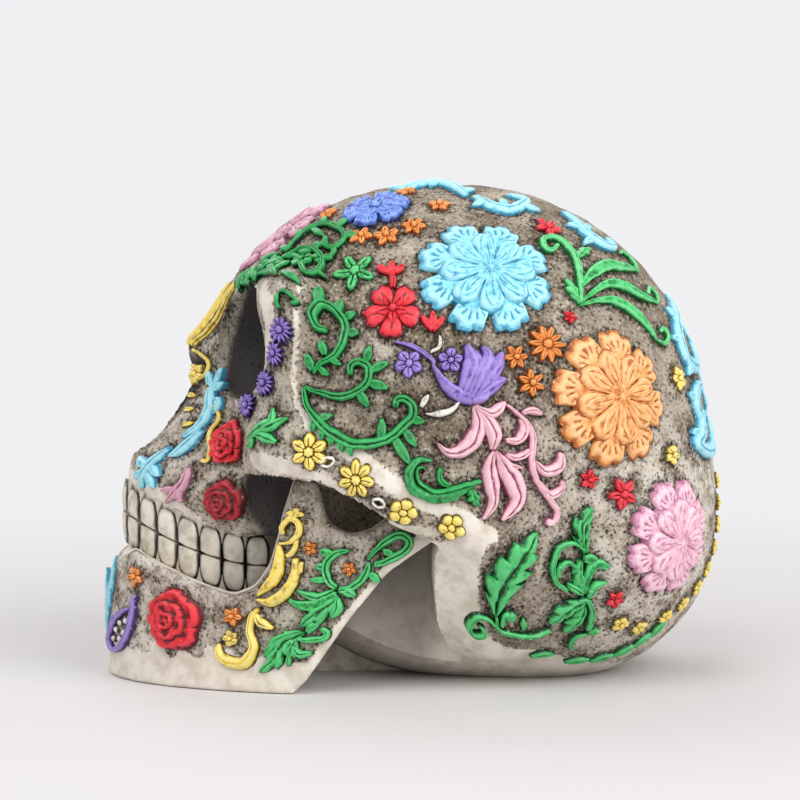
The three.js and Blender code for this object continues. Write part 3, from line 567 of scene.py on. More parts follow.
def grooveWashAndShading(fresh, level, top):
    # how far the blurred top stands above the top itself, so grooves come out dark with wash and painted
    # shade and ridges pale with painted highlight; the walls get full painted shade at their foot
    for i, vert in enumerate(fresh):
        vert.index = i
    pairs = {e for vert in fresh for e in vert.link_edges}
    ends = np.array([(e.verts[0].index, e.verts[1].index) for e in pairs])
    ends = ends[top[ends[:, 0]] & top[ends[:, 1]]]
    count = np.maximum(np.bincount(ends.ravel(), minlength=len(fresh)), 1)
    blurred = level * top
    for turn in range(relief["blurTurns"]):
        total = np.bincount(ends[:, 0], blurred[ends[:, 1]], len(fresh))
        total += np.bincount(ends[:, 1], blurred[ends[:, 0]], len(fresh))
        blurred = (blurred + total / count) / 2
    return np.where(top, np.clip((blurred - level) / relief["grooveDepth"], -1, 1), 1)


def raiseSheet(bm, place, part, washAndShading):
    fresh = flatSheet(bm, part)
    flat = np.array([v.co for v in fresh])
    top = flat[:, 2] > 0.5
    u, v, rise = part["shape"](flat[:, 0], flat[:, 1])
    spots = np.stack([u, v, 0 * u], axis=1) + place["origin"]
    sway = np.array([noise.noise_vector(Vector(spot / relief["swaySize"])) for spot in spots])
    grit = np.array([noise.noise(Vector(spot / relief["gritSize"])) for spot in spots])
    u, v = u + relief["sway"] * sway[:, 0], v + relief["sway"] * sway[:, 1]
    rise = rise * (1 + relief["swell"] * sway[:, 2]) + relief["grit"] * grit
    level = np.where(top, np.maximum(rise, relief["least"]), relief["bed"])
    points = place["origin"] + u[:, None] * place["u"] + v[:, None] * place["v"]
    points = place["over"](points, level)
    footprints.extend(points[~top])
    groove = grooveWashAndShading(fresh, level, top)
    for vert, point, dark in zip(fresh, points * mm, groove):
        vert.co = point
        vert[washAndShading] = dark
        vert.tag = True
    for face in bm.faces:
        face.tag = True


def asPiece(bm, name, material, nodes):
    bmesh.ops.recalc_face_normals(bm, faces=bm.faces)
    for face in bm.faces:
        face.smooth = True
    mesh = bpy.data.meshes.new(name)
    bm.to_mesh(mesh)
    mesh.set_sharp_from_angle(angle=relief["sharp"])
    mesh.materials.append(material)
    piece = bpy.data.objects.new(name, mesh)
    bpy.context.scene.collection.objects.link(piece)
    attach(piece, "root")
    if nodes:
        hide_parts(*nodes)


def ornament(name, paint, laid, node=None, paired=True):
    # laid: pairs of a place and a part; a paired ornament is mirrored to the right side
    bm = bmesh.new()
    washAndShading = bm.verts.layers.float.new("washAndShading")
    for place, part in laid:
        raiseSheet(bm, place, part, washAndShading)
    material, slotName = brushed[paint], paints[paint][3]
    if not paired:
        asPiece(bm, name, material, [node] if node else [])
    else:
        for side in ("left", "right"):
            title = side + name[0].upper() + name[1:]
            asPiece(bm, title, material, [side + "_" + node] if node else [])
            bmesh.ops.scale(bm, vec=(-1, 1, 1), verts=bm.verts)
    bm.free()


def allAt(place, parts):
    return [(place, part) for part in parts]


# large two-layer flowers
bigFlowers = {
    "crownFlower": {"at": (118, 39, 0), "radius": 19.5, "heart": 13.6, "paint": "skyBlue", "thin": 0.82},
    "parietalFlower": {"at": (139, 7, 10), "radius": 19.5, "heart": 13.6, "paint": "orange", "thin": 0.82},
    "napeFlower": {"at": (152, -19, 0), "radius": 17, "heart": 12, "paint": "pink", "thin": 0.72},
    "foreheadFlower": {"at": (0, 62, 0), "radius": 17.5, "heart": 12.2, "paint": "mauve", "thin": 0.6},
}
petalCount, heartLift = 8, 1.7
for name, flower in bigFlowers.items():
    turn, rise, roll = flower["at"]
    paired = name != "foreheadFlower"
    node = name.replace("Flower", "_flower")
    place = onSkull(turn, rise, roll)
    petals = fanPetals(flower["radius"], petalCount, flower["thin"])
    ornament(name + "Petals", flower["paint"], [(place, petals)], node + "_petals", paired)
    # the heart's petals lie over the gaps
    place = onSkull(turn, rise, roll + 180 / petalCount)
    centre = rosette(flower["heart"], petalCount, heartLift, flower["thin"])
    ornament(name + "Heart", flower["paint"], [(place, centre)], node + "_heart", paired)
print("large flowers made")

# roses
ornament("cheekRose", "red", [(onSkull(33, -4), rose(6.5, 3.2))], "cheek_rose")
ornament("lipRose", "deepRed", [(onSkull(33, -20), rose(6.2, 3))], "lip_rose")
ornament("chinRose", "red", [(onJaw(-68, 19), rose(9.2, 4))], "chin_rose")

# red orchid with its column and three-lobed crest
orchidBloom = [floret(8.6, 5, 1.7, 0.42, 3, 0.5, 0, 0.12), floret(4.6, 5, 2.7, 0.55, 2, 0.8, 0.5)]
orchidCrest = [
    frond([(0, 6.5), (0, 9), (-0.5, 11.5)], [0.9, 1, 0.8], 2, 0.4),
    *leaves([
        (-0.5, 11, -0.5, 16, 2.4), (-0.8, 11.5, -4.4, 14.5, 2.4, 0.4), (-0.2, 11.5, 3.2, 14.5, 2.4, -0.4),
    ]),
]
orchid = allAt(onSkull(89, 33, 18), orchidBloom) + allAt(onSkull(89, 33, 3), orchidCrest)
ornament("templeOrchid", "red", orchid, "temple_orchid")

# purple bell flower on its stem
bell = [
    scroll([(-20.5, 10.5), (-16, 9), (-11.5, 6), (-9.5, 3.5)], 1.3, 1.5),
    frond([(-10.5, 4.5), (-8.5, 0), (-5.5, -3.5), (-2, -5.5), (2.5, -6.5)], [0.2, 1, 1.8, 2.1, 1], 2.2, 0),
    frond([(-3, -5.5), (-0.5, 0), (0.5, 4.5), (-1.5, 9)], [1.4, 2.6, 2.9, 0.4], 2.3, -0.5),
    frond([(0.5, -6), (4.5, -3), (7, -1.5), (9.5, -0.5)], [1.2, 2.4, 2.1, 0.4], 2.1, -0.5),
    frond([(0.5, -6), (4, -0.5), (7, 3.5), (8.5, 7)], [1.4, 2.6, 2.6, 0.4], 2.5, -0.5),
    frond([(-0.5, -6), (2, 0), (4.5, 5), (3, 8.5)], [1.4, 2.6, 2.6, 0.4], 2.9, -0.5),
    frond([(-0.5, -6.5), (2.5, -6), (4.5, -4)], [1, 1.4, 0.4], 3, 0),
]
ornament("bellFlower", "purple", allAt(onSkull(108, 14), bell), "bell_flower")

# pink lily leaves and the tendril behind them
pinkLeaves = [
    frond(
        [(-5, 12), (-4, 7), (-5.5, 2.5), (-9, -0.5), (-12.5, -0.5), (-15, 2)],
        [0.4, 1.7, 2.4, 2.1, 1.4, 0.2], 2.2, 0.7,
    ),
    frond([(-4.5, 11.5), (-1.5, 7.5), (0, 4), (-0.5, 0)], [0.4, 1.9, 2.3, 0.7], 2.6, 0.7),
    frond([(-5, 12.5), (-3, 10.5), (0, 10), (3.5, 13)], [0.5, 1.4, 1.7, 0.4], 2.9, 0.5),
    frond([(0, 0), (-1, -4.5), (-0.5, -10), (-0.5, -14), (-3.5, -18)], [0.3, 1.9, 2.4, 1.4, 0.2], 2.1, 0.7),
    frond([(0.5, 0), (3, -4.5), (6, -9.5), (6.5, -14), (1.5, -18.5)], [0.3, 2.4, 3.1, 2.1, 0.2], 2.5, 0.8),
    frond([(1, -0.5), (4, -4), (8.5, -5)], [0.3, 1.1, 0.2], 2),
]
ornament("pinkLeaves", "rosePink", allAt(onSkull(112, -3), pinkLeaves), "pink_leaves")
tendril = [
    (-8, 16.5), (-4.5, 13.5), (-1.5, 9.5), (-1, 5), (-1.5, 1), (0, -4), (3.5, -9), (6.5, -13), (5.5, -16),
    (3, -15.5),
]
pinkTendril = [
    scroll(tendril, 1.8, ball=0.4),
    frond([(-4, 12.5), (-3, 9.5), (-5, 6.5), (-8.5, 6.5)], [0.6, 1.5, 1.3, 0.5]),
    frond([(-1.5, 4), (-4.5, 2), (-7, 2), (-8.5, 3)], [0.4, 1.1, 1, 0.5]),
    frond([(-0.5, 1), (2.5, -2), (6.5, -1), (7.5, 3)], [0.4, 1.5, 1.8, 0.8]),
    frond([(-3.5, 13.5), (-1, 14.5), (2.5, 13.5)], [0.4, 1.2, 0.6]),
    frond([(1, -4.5), (4, -8.5), (7.5, -7), (8, -4.5)], [0.4, 1.2, 1.2, 0.4]),
]
ornament("pinkTendril", "rosePink", allAt(onSkull(121, -6), pinkTendril), "pink_tendril")

# green scrollwork of the temple and the cheek arch
sprigStem = [
    (-6, -10), (-3.5, -7), (0.5, -4.5), (2.5, 0), (2.5, 4), (0, 7.5), (-3, 8), (-5, 5), (-4, 2),
    (-1.5, 2),
]
templeSprig = [
    scroll(sprigStem, 2.6, groove=0.6),
    *leaves([
        (-4, 7.5, -3.5, 13, 2.8), (0.5, 6.5, 1.5, 11, 2.6), (2.5, 5.5, 5.5, 7.2, 2.6),
        (3, 1.5, 6.8, 1, 2.6), (-2.5, -5, -3.5, -1, 2.6), (-6, -9, -7.2, -4.5, 2.6),
        (-4.5, -8, -1.5, -10, 2), (-1.5, -5.5, 2, -7.5, 2),
    ]),
]
ornament("templeSprig", "deepGreen", allAt(onSkull(72, 26), templeSprig), "temple_sprig")
garlandTop = [
    (-13, 5.5), (-10.5, 4.5), (-6, 3.5), (-2, 3.5), (2, 5.5), (4, 8), (4, 11.5), (1.5, 13), (-1, 12),
    (-1, 9),
]
garlandLow = [
    (-13, 5.5), (-12, 1), (-9.5, -2.5), (-5.5, -6), (-1, -8.5), (2.5, -9), (7, -8.5),
    (11, -7), (14, -4.5), (17, -1.5), (17, 1.5), (15, 3), (12.5, 3), (12, 0.5),
]
templeGarland = [
    scroll(garlandTop, 2.5, groove=0.6),
    scroll(garlandLow, 2.9, 2.2, groove=0.7),
    *leaves([
        (3, 13, 4.5, 17.8, 2.8), (4.5, 10.5, 10, 13.5, 3), (4, 7.5, 10, 6, 3), (1, 5, 4.5, 0.8, 2.8),
        (8, -8, 8.5, -2, 3), (16.5, -2, 20.8, -3, 2.6), (14.5, -5, 18.5, -9.8, 3),
        (11.5, -7, 16.5, -14, 3.2), (-9, -3, -5.5, -1.5, 2.2), (-9.5, -3, -10, -6, 1.8),
        (-7.5, -4.5, -7.5, -8, 1.8), (-5.5, -6, -5, -9.5, 2), (-3.2, -7.2, -2.2, -11, 2),
        (-1, -8.5, 0.5, -12, 2),
    ]),
]
ornament("templeGarland", "deepGreen", allAt(onSkull(78, 7), templeGarland), "temple_garland")
archHook = [(-2, 4), (-6, 4), (-8.5, 1), (-7.5, -3.5), (-2, -6), (4, -5), (10, -1.5)]
archLine = [(-4, 1.5), (-5, 2.5), (-6.5, 1.5), (-6, -1.5), (-2, -4), (4, -3), (10.5, -1)]
archScroll = [
    frond(archHook, [0.4, 1.2, 1.6, 1.8, 2, 1.4, 0.3], 1.8, 0),
    scroll(archLine, 1.1, 2.6, groove=0),
    frond([(2.5, -3), (0, -1.5), (-0.5, 1), (0.5, 2)], [0.5, 1, 0.8, 0.7], 2.2),
    frond([(7.5, -3), (8.5, -5.5), (9.5, -8.5)], [0.7, 2.1, 0.6], 2, saw=3),
]
ornament("archScroll", "deepGreen", allAt(onSkull(100, -9), archScroll), "arch_scroll")

# palm of three crescents and a coiled stem on the crown
palmStem = [
    (-12, -4.5), (-8.5, 3.5), (-6, 10), (-6, 16), (-8, 19), (-12, 18.5), (-13.5, 15), (-11.5, 14),
    (-8.5, 16),
]
palmFronds = [
    frond([(-9.5, 0.5), (-4.5, 4), (4, 7.5), (11.5, 7.5), (22, 7.5)], [0.4, 1.6, 1.9, 1.4, 0.2], 2, 0, 0.5),
    frond(
        [(-12, -4.5), (-7.5, -2), (0, 1), (7, 0.5), (14.5, -2.5), (23, -4)],
        [0.3, 0.8, 1.4, 1.6, 1.1, 0.2], 2, 0, 0.5,
    ),
    frond(
        [(-12, -5), (-6, -4), (0.5, -4.5), (6.5, -8), (11, -12.5), (14, -16.5)],
        [0.3, 0.8, 1.4, 1.5, 1.1, 0.2], 2, 0, 0.5,
    ),
    scroll(palmStem, 1.8),
    scroll([(21, 8), (23, 12), (20.5, 15), (17, 13.5)], 1.1, 1.5),
    scroll([(22.5, -4), (25, -0.5), (22.5, 1.5), (18, -1.5)], 1.1, 1.5),
    scroll([(14, -16.5), (18.5, -17.5), (22, -15), (20, -12.5), (17.5, -14)], 1.5, 1.5),
    frond([(-5.5, 10), (-1.5, 12.5), (3, 14)], [0.5, 1.8, 0.2], saw=3),
    frond([(-12, -4.5), (-12.5, -0.5), (-12.5, 4)], [0.3, 1.7, 0.3], saw=3),
]
ornament("palmFronds", "palmGreen", allAt(onSkull(147, 29), palmFronds), "palm_fronds")

# small-leaved crest over the brow
crestLoops = [
    [(-6, 3), (-5, 10.5), (-0.5, 14), (6, 13), (11.5, 9.5), (11.5, 5.5), (8, 5), (5.5, 8)],
    [(-3.5, 0), (-0.5, 4), (5, 3.5), (10, 0), (13.5, -7), (12.5, -10), (7, -5), (6.5, -2.5)],
]
crestCurls = [
    [(10, -19.5), (11, -18.5), (14, -19.5), (15.5, -20.5), (14, -22)],
    [(10, -19.5), (10, -22), (11.5, -24)],
]
browCrest = [
    *[scroll(line, 1.6, groove=0.5) for line in crestLoops],
    *[scroll(line, 1.2) for line in crestCurls],
    frond([(-11.5, -8.5), (-7, -7), (0, -9), (6, -13.5)], [0.3, 1.1, 1.1, 0.2], rim=0.3),
    *leaves([
        (6.5, -12, 14, -15, 2.2, 0.5), (-9.5, -3.5, -3, -1, 2.2, 0.5), (-14, -0.5, -8, 3, 2.2, 1.5),
        (-1.5, -8, -0.5, -1.5, 2, -0.5), (-2.5, 12.5, 5, 9, 1.8), (10.5, 5.5, 11.5, 1.5, 2, 0.5),
        (12.5, -6.5, 16.5, -8, 1.8), (-6, 4, -10, 7, 2.4), (-5, 10, -8, 13, 2.4), (0, 14, -1, 18, 2.4),
        (6, 13, 8, 16.5, 2.4), (11, 9.5, 14.5, 11, 2.4), (2, -1, 5, -6, 2.2), (-6, -3, -4, -7, 2.2),
        (5, 3.5, 4, 7, 2), (9, 1, 12.5, 1.5, 2),
    ]),
    leaf((-19, -9.5), (-20.5, -1.5), 2.4, bend=1.5, rib=0.5),
    leaf((-16, -9), (-13.5, -2.5), 2.4, bend=-1, rib=0.5),
    leaf((-12, -9.5), (-15.5, -8), 1.8),
]
# small leaves strewn along the crest
strewn = {"count": 34, "from": -19, "to": 8, "low": -7, "climb": 0.36, "spread": 4, "length": 3.6}
dice = np.random.default_rng(7)
for u in np.linspace(strewn["from"], strewn["to"], strewn["count"]):
    drift = dice.uniform(-strewn["spread"], strewn["spread"])
    v = strewn["low"] + strewn["climb"] * (u - strewn["from"]) + drift
    angle = dice.uniform(0, 2 * np.pi)
    tip = (u + strewn["length"] * np.cos(angle), v + strewn["length"] * np.sin(angle))
    width, height, bend = [dice.uniform(*span) for span in ((1.5, 2.1), (1.5, 2.2), (-0.5, 0.5))]
    browCrest.append(leaf((u, v), tip, width, height, bend))
ornament("browCrest", "deepGreen", allAt(onSkull(48, 50), browCrest), "brow_crest")

# green leaves of the nape
mastoidCurl = [
    (-2.5, -15), (-6, -12.5), (-8.5, -13.5), (-9.5, -18), (-8, -20), (-6, -18.5), (-6.5, -16),
    (-7.5, -16.5),
]
mastoidLeaf = [
    frond([(-4, -11.5), (-4, -6), (-2.5, 1), (1.5, 8), (5.5, 14)], [0.6, 4.8, 6.2, 5, 0.3], 2.3, 1.5, saw=5),
    scroll([(-4, -11), (-2.5, -15.5), (2, -17), (9, -19), (14, -18)], 1.4, 1.8),
    scroll(mastoidCurl, 1.6),
    scroll([(-2, -14.5), (-2, -11), (-0.5, -9.5)], 1.4),
    bud(0, -11, 1.6),
    leaf((4.5, -16), (3.5, -11.5), 1.6),
]
ornament("mastoidLeaf", "green", allAt(onSkull(119, -31), mastoidLeaf), "mastoid_leaf")
napeScroll = [
    frond([(3, 6), (2, 10), (2.5, 14.5), (6, 18.5)], [1.6, 3, 2.7, 0.6], 2.2, 0.6, saw=3, folds=2),
    scroll([(2.5, 7), (-1.5, 9.5), (-5.5, 8), (-7, 3), (-5, -2), (-1.5, -4.5)], 1.6),
    scroll([(1, 2), (-2.5, 4), (-5, 2.5), (-5, -0.5)], 1.3),
    frond([(3.5, -6), (3.5, -0.5), (6, 3), (10.5, 1.5)], [0.4, 0.9, 1.4, 0.8], 2, 0, 0.4),
    frond([(5, -8), (6, -3.5), (10, -3)], [0.4, 1.2, 0.3], 2),
    frond([(1.5, 4.5), (1, 0), (3.5, -5.5)], [0.8, 1.9, 0.5], 2.2, saw=3),
    leaf((2.5, 4.5), (6.5, 4.5), 3),
    frond([(-2, -2.5), (0.5, -4), (3.5, -6)], [0.4, 1.4, 0.5], 2),
    frond([(4.5, -8.5), (0.5, -10.5), (-2, -13.5), (-4, -16.5)], [1.1, 3, 3, 0.5], 2.2, 0.8, saw=3),
    frond([(4.5, -10), (4, -14), (2.5, -18), (2, -21)], [1.1, 2.2, 2.2, 0.3], 2.1, 0.7, saw=3),
    scroll([(1.5, -8.5), (4.5, -8), (7, -12), (8, -17.5), (8, -20)], 1.6),
    bud(10.5, -21, 2),
    scroll([(9, -22), (6, -23), (6, -27), (8, -30)], 1.4, 1.6),
]
ornament("napeScroll", "green", allAt(onSkull(132, -28), napeScroll), "nape_scroll")

# ornaments of the jaw
jawAcanthus = [
    scroll(
        [(7.5, 7), (10.5, 10.5), (13.5, 13), (17, 14), (19, 12), (17, 9), (12, 6.5), (9, 5.5)],
        2.4, groove=0.7,
    ),
    scroll([(8, 7), (7, 3), (3.5, -0.5), (-0.5, -1.5)], 2.3, groove=0.7),
    scroll([(3, 9.5), (-0.5, 9), (-3.5, 6), (-3, 1.5), (-0.5, -1)], 2.4, groove=0.7),
    frond([(-1, -1.5), (-6, -3.5), (-12, -1.5)], [0.9, 1.5, 0.2], 2),
    frond([(-0.5, -2.5), (-6, -5.5), (-11.5, -5.5), (-14, -4)], [0.9, 1.6, 1.5, 0.3], 2.1, 0, 0.4),
    frond([(0, -3), (-4, -6.5), (-8.5, -9.5), (-11, -11.5)], [0.9, 3, 3, 0.5], 2.2, 0.8, saw=3),
    frond([(-0.5, -3), (-0.5, -6.5), (-2.5, -9)], [0.6, 1.6, 0.5], 2),
    frond([(0.5, -1), (3, -2), (4.5, -3)], [0.6, 1.7, 0.5], 2),
    *leaves([
        (-1.5, 8.5, -5.5, 9.5, 2.6), (-3.2, 5, -6.5, 5, 2.4), (-3, 1.5, -8, 1.5, 2.2),
        (14.5, 8.5, 11.5, 10, 1.8), (8, 3.5, 11, 1, 2.4),
    ]),
]
ornament("jawAcanthus", "green", allAt(onJaw(-23, 30.5), jawAcanthus), "jaw_acanthus")
jawLeaf = [
    frond([(5.5, 4.5), (0, 1.5), (-3.5, -3.5), (-7.5, -7)], [0.7, 2.8, 2.8, 0.4], 2.1, 0.8, saw=4),
    frond([(3.5, 3.5), (2, 0), (0.5, -5)], [0.6, 1.8, 0.4], 2, saw=3),
    frond([(5, 5), (-0.5, 3), (-4, 0), (-6, -2.5)], [0.6, 1.8, 1.8, 0.3], 2.5, saw=3),
    scroll([(3, 3), (6.5, 2.5), (10.5, 3), (11.5, 5), (9.5, 5.5)], 2),
    frond([(2, 1), (4, -1.5), (7.5, -1)], [0.5, 1.3, 0.3], 1.8),
    leaf((6, 4.5), (9.5, 7), 2.4, bend=0.4),
]
ornament("jawLeaf", "green", allAt(onJaw(-37.5, 12.8), jawLeaf), "jaw_leaf")
jawScroll = [
    frond([(-0.5, 5), (-0.5, 0), (-2, -5), (-7, -10)], [0.4, 1.7, 1.8, 0.3], 1.9, 0),
    frond([(4, 1), (4, -3.5), (1.5, -8.5), (-3, -11.5), (-7, -11)], [0.9, 1.4, 1.7, 1.6, 0.3], 2.2, 0),
    scroll([(-0.5, 5), (2.5, 5), (5, 7.5), (5, 10.5), (2.5, 11.5), (0.5, 9), (1, 7)], 1.6, 2),
    scroll([(5, 6), (3.5, 2.5), (1.5, 1)], 1.5, 2),
    scroll([(1.5, 11.5), (4, 12.5), (4.5, 15)], 1.6, 2),
    *leaves([(4, 12.5, 6.5, 12.5, 1.4, 0.3), (4, 13.5, 1.5, 13.2, 1.4, 0.3)]),
    scroll([(4, -2.5), (5.5, -3), (6, 0)], 1.1, 1.8),
]
ornament("jawScroll", "yellow", allAt(onJaw(-38.7, 37), jawScroll), "jaw_scroll")
hookLine = [(3.5, 8.5), (2, 6), (1.5, 1.5), (2.5, -2.5), (0, -6.5), (-4, -7), (-7.5, -5.5), (-8.5, -2)]
jawHook = [
    frond(hookLine, [0.5, 1, 1, 1.3, 1.9, 1.9, 1.6, 0.6], 2.1, 0.3),
    frond([(3, 7), (4.5, 4.5), (8, 3)], [0.4, 1.4, 0.3], 1.9),
]
ornament("jawHook", "yellow", allAt(onJaw(-48.3, 15.2), jawHook), "jaw_hook")
chinDrop = [frond([(0, 12), (0, 5), (0, -2), (0, -8)], [0.6, 1.3, 1.8, 0.6], 1.1, 0.3)]
for side in (1, -1):
    line = [(side * u, v) for u, v in ((12.5, 14), (10, 9), (7, 4), (4, -1), (1, -7))]
    chinDrop.append(frond(line, [0.6, 1.8, 2.3, 1.9, 0.5], 1.5, 0.5, saw=4))
ornament("chinDrop", "skyBlue", allAt(onJaw(-87.5, 18), chinDrop), "chin_drop", False)

# ornaments of the mid line
nosePlaque = []
backScroll = [scroll([(0, 24), (0, 14), (0, 4), (0, -7), (0, -18)], 2.2, 1.5)]
for side in (-1, 1):
    inner = [(side * 1.2, -8), (side * 1.8, 2), (side * 3, 13)]
    outer = [(side * 3, -7.5), (side * 5.5, 1), (side * 11.5, 14)]
    nosePlaque += [frond(inner, [1, 1.9, 1.4], 1.4, 0, folds=3), frond(outer, [1, 2.8, 1.6], 1.5, 0, folds=4)]
    backScroll += leaves([(side * 0.8, 14, side * 5, 19, 2.6), (side * 0.8, -4, side * 5, 1, 2.6)], 1.6)
ornament("nosePlaque", "yellow", allAt(onSkull(0, 29), nosePlaque), "nose_plaque", False)
ornament("backScroll", "skyBlue", allAt(onSkull(180, 4), backScroll), "back_scroll", False)
lowCurl = [
    (4, 9.5), (-4, 9), (-8, 5), (-6, 0.5), (-7.5, -4), (-12, -6), (-7, -8.5), (2, -9), (8, -6), (9, 0),
]
highCurl = [(7, 13), (2.5, 9), (-5, 5), (-10, 0), (-10, -6), (-4, -9), (3, -7), (5, -2)]
backCurls = allAt(onSkull(168, 1), [
    frond(lowCurl, [0.8, 1.8, 2.2, 2, 2.2, 2, 2.4, 2.4, 2, 0.8], 2.2, 0.6),
    *leaves([(-8, -3.5, -14, -3, 2.8), (-7.5, 6, -12, 8, 2.8), (-5.5, 1, 0, 2, 2.6)], 1.8),
])
backCurls += allAt(onSkull(170, 16), [
    frond(highCurl, [0.8, 1.8, 2.2, 2.3, 2.4, 2.3, 1.8, 0.8], 2.1, 0.6),
    *leaves([(-10, -1, -14.5, 1, 2.8), (-4, 5.5, -8, 9.5, 2.8), (-8, -8, -12, -11, 2.8)], 1.8),
])
ornament("backCurls", "skyBlue", backCurls)
print("scrolls and leaves made")

# small florets of each colour; form: gap depth, roundness, crease and boss;
# each spot: turn and rise on the skull, or y and z on the jaw, then radius, petals and roll
floretSets = {
    "orangeFlorets": {
        "paint": "amber",
        "form": (0.55, 1.5, 0.6, 0.5),
        "skull": [
            (43, 69, 3, 5, 10), (76, 57, 3.6, 5, 40), (87.5, 56, 4, 5, 0), (100, 58, 3.7, 6, 25),
            (118, 64.5, 3.3, 5, 50), (110.5, 76.5, 3.2, 5, 15), (126, 19.5, 5.6, 10, 12),
            (118.5, 17.5, 3.6, 6, 33), (121, 11.5, 3.9, 6, 5),
        ],
        "jaw": [
            (-79, 30, 3.2, 5, 10), (-52, 21, 2.9, 5, 30), (-31, 40.5, 2.1, 5, 0), (-20.5, 35, 2.1, 5, 20),
        ],
    },
    "redFlorets": {
        "paint": "red",
        "form": (0.58, 1.4, 0.7, 0.4),
        "skull": [
            (146, 46.5, 4.3, 5, 0), (133.5, 24.5, 2.2, 5, 20), (132.5, -9, 3, 5, 40),
            (139.5, -11.5, 4.8, 5, 8), (142, -31, 3, 5, 25),
        ],
    },
    "purpleFlorets": {
        "paint": "purple",
        "form": (0.42, 3, 0.7, 0.3),
        "skull": [(93, 18.5, 4, 5, 15), (103.5, 18.5, 3.5, 5, 50)],
    },
    "yellowFlorets": {
        "paint": "yellow",
        "form": (0.45, 2.4, 0.6, 0.3),
        "skull": [
            (67.5, -4, 5.4, 6, 0), (79.5, -10.5, 5.6, 7, 18), (158, 9, 3.6, 5, 0), (152, -4.5, 3, 5, 25),
            (146.5, -35.5, 2.6, 5, 40), (152, -35.5, 2.6, 5, 10), (7, 14.5, 3.4, 5, 18),
            (175, -10, 2.6, 5, 0), (174, -13.5, 2.6, 5, 20), (172.5, -17, 2.6, 5, 40),
            (170.5, -20.5, 2.6, 5, 10), (168, -24, 2.6, 5, 30), (165, -27, 2.6, 5, 0),
            (161.5, -30, 2.6, 5, 20), (157.5, -32.5, 2.6, 5, 40),
        ],
        "jaw": [(-52.5, 15, 2.5, 5, 0)],
    },
    "yellowBlooms": {
        "paint": "yellow",
        "form": (0.25, 2, 0.05, 0.1),
        "skull": [(91, -17.5, 4.3, 5, 30), (102.5, -20.5, 4, 5, 10)],
    },
    "greenFlorets": {"paint": "green", "form": (0.8, 1.8, 1, 0.2), "skull": [(76, 45, 6.3, 5, 18)]},
    "purpleAsters": {
        "paint": "purple",
        "form": (0.6, 1.3, 0, 0.7),
        "skull": [(58, 25.5, 4, 13, 0), (55.5, 20.5, 3.7, 12, 9)],
    },
    "rimAsters": {
        "paint": "purple",
        "form": (0.6, 1.3, 0, 0.7),
        "wide": 1.6,
        "skull": [(51, 13.5, 3.8, 14, 0), (40.5, 7.5, 3.6, 12, 0)],
    },
}
for name, florets in floretSets.items():
    laid = []
    for site, casting in (("skull", onSkull), ("jaw", onJaw)):
        for across, up, radius, petals, roll in florets.get(site, []):
            place = casting(across, up, roll)
            place["u"] = place["u"] * florets.get("wide", 1)
            laid.append((place, floret(radius, petals, 1.3 + 0.09 * radius, *florets["form"])))
    ornament(name, florets["paint"], laid)
royalFlower = [fanPetals(10, 6, 0.85), floret(5.5, 6, 2.3, 0.5, 2, 0.7, 0.4)]
ornament("royalFlowers", "royalBlue", allAt(onSkull(81, 69), royalFlower))
print("florets made")

# small leaves and curls
redSprig = leaves([(0, -2.5, -3.2, 2, 2.2), (0, -2.5, 0, 3.4, 2.4), (0, -2.5, 3.2, 1.6, 2.2)])
ornament("redSprigs", "red", allAt(onSkull(100, 28.5), redSprig))
cheekLeaf = [
    frond([(-9.5, -4), (-3.5, -0.5), (0, 1.5), (-0.5, 5.5)], [0.7, 1.9, 1.9, 0.4]),
    frond([(-4.5, -1.5), (1, 0.5), (5.5, 3)], [0.7, 1.8, 0.2], 2.2),
    frond([(-5, -2.5), (-0.5, -3), (3.5, -4.5)], [0.7, 1.8, 0.5]),
    frond([(-7, -3), (-6.5, -5), (-9, -7)], [0.7, 1.2, 0.3]),
]
ornament("cheekLeaves", "green", allAt(onSkull(56.5, 2), cheekLeaf))
napeLine = [
    (137.5, -48, 5), (147.5, -46.5, 10), (152, -44, 30), (155, -41, 50), (156.5, -38, 65), (158, -35, 75),
]
napeMark = leaf((-3.5, 0), (3.5, 0), 3, 1.7, 0.6, 0.5)
napeMarks = [(onSkull(*spot), napeMark) for spot in napeLine]
ornament("napeMarks", "green", napeMarks)
lipLeaf = [
    frond([(2.5, 4.5), (1.5, 0), (-5.5, -6.5)], [0.6, 1.8, 0.3]),
    frond([(1, 0), (0, -3), (0.5, -5.5)], [0.6, 1.3, 0.3]),
    leaf((-1.5, -1.5), (-6.5, -2.5), 2),
]
ornament("lipLeaves", "mauve", allAt(onSkull(21.7, -13.8), lipLeaf))
ivoryLoop = scroll([(-2, 0), (0, 1.2), (2, 0), (0, -1.2), (-2, 0)], 0.9, 1.3, 0.8, 0.9, 0)
ivorySpots = [
    (onSkull(96.7, 8.8, 60), leaf((-2, 0), (2, 0), 1.6, 1.2)),
    (onSkull(103, 6, 50), frond([(4, 0), (0, 0.5), (-3, 2.5), (-5, 5)], [0.3, 0.8, 0.9, 0.2], 1.3, 0)),
    (onSkull(72, -6.5, 20), ivoryLoop),
    (onSkull(85, -15.5, -20), ivoryLoop),
    (onSkull(99.7, 23), scroll([(1.5, 2.5), (1.5, -1), (-1, -2.5)], 1, 1.3)),
]
ornament("ivoryLeaflets", "ivoryPaint", ivorySpots)

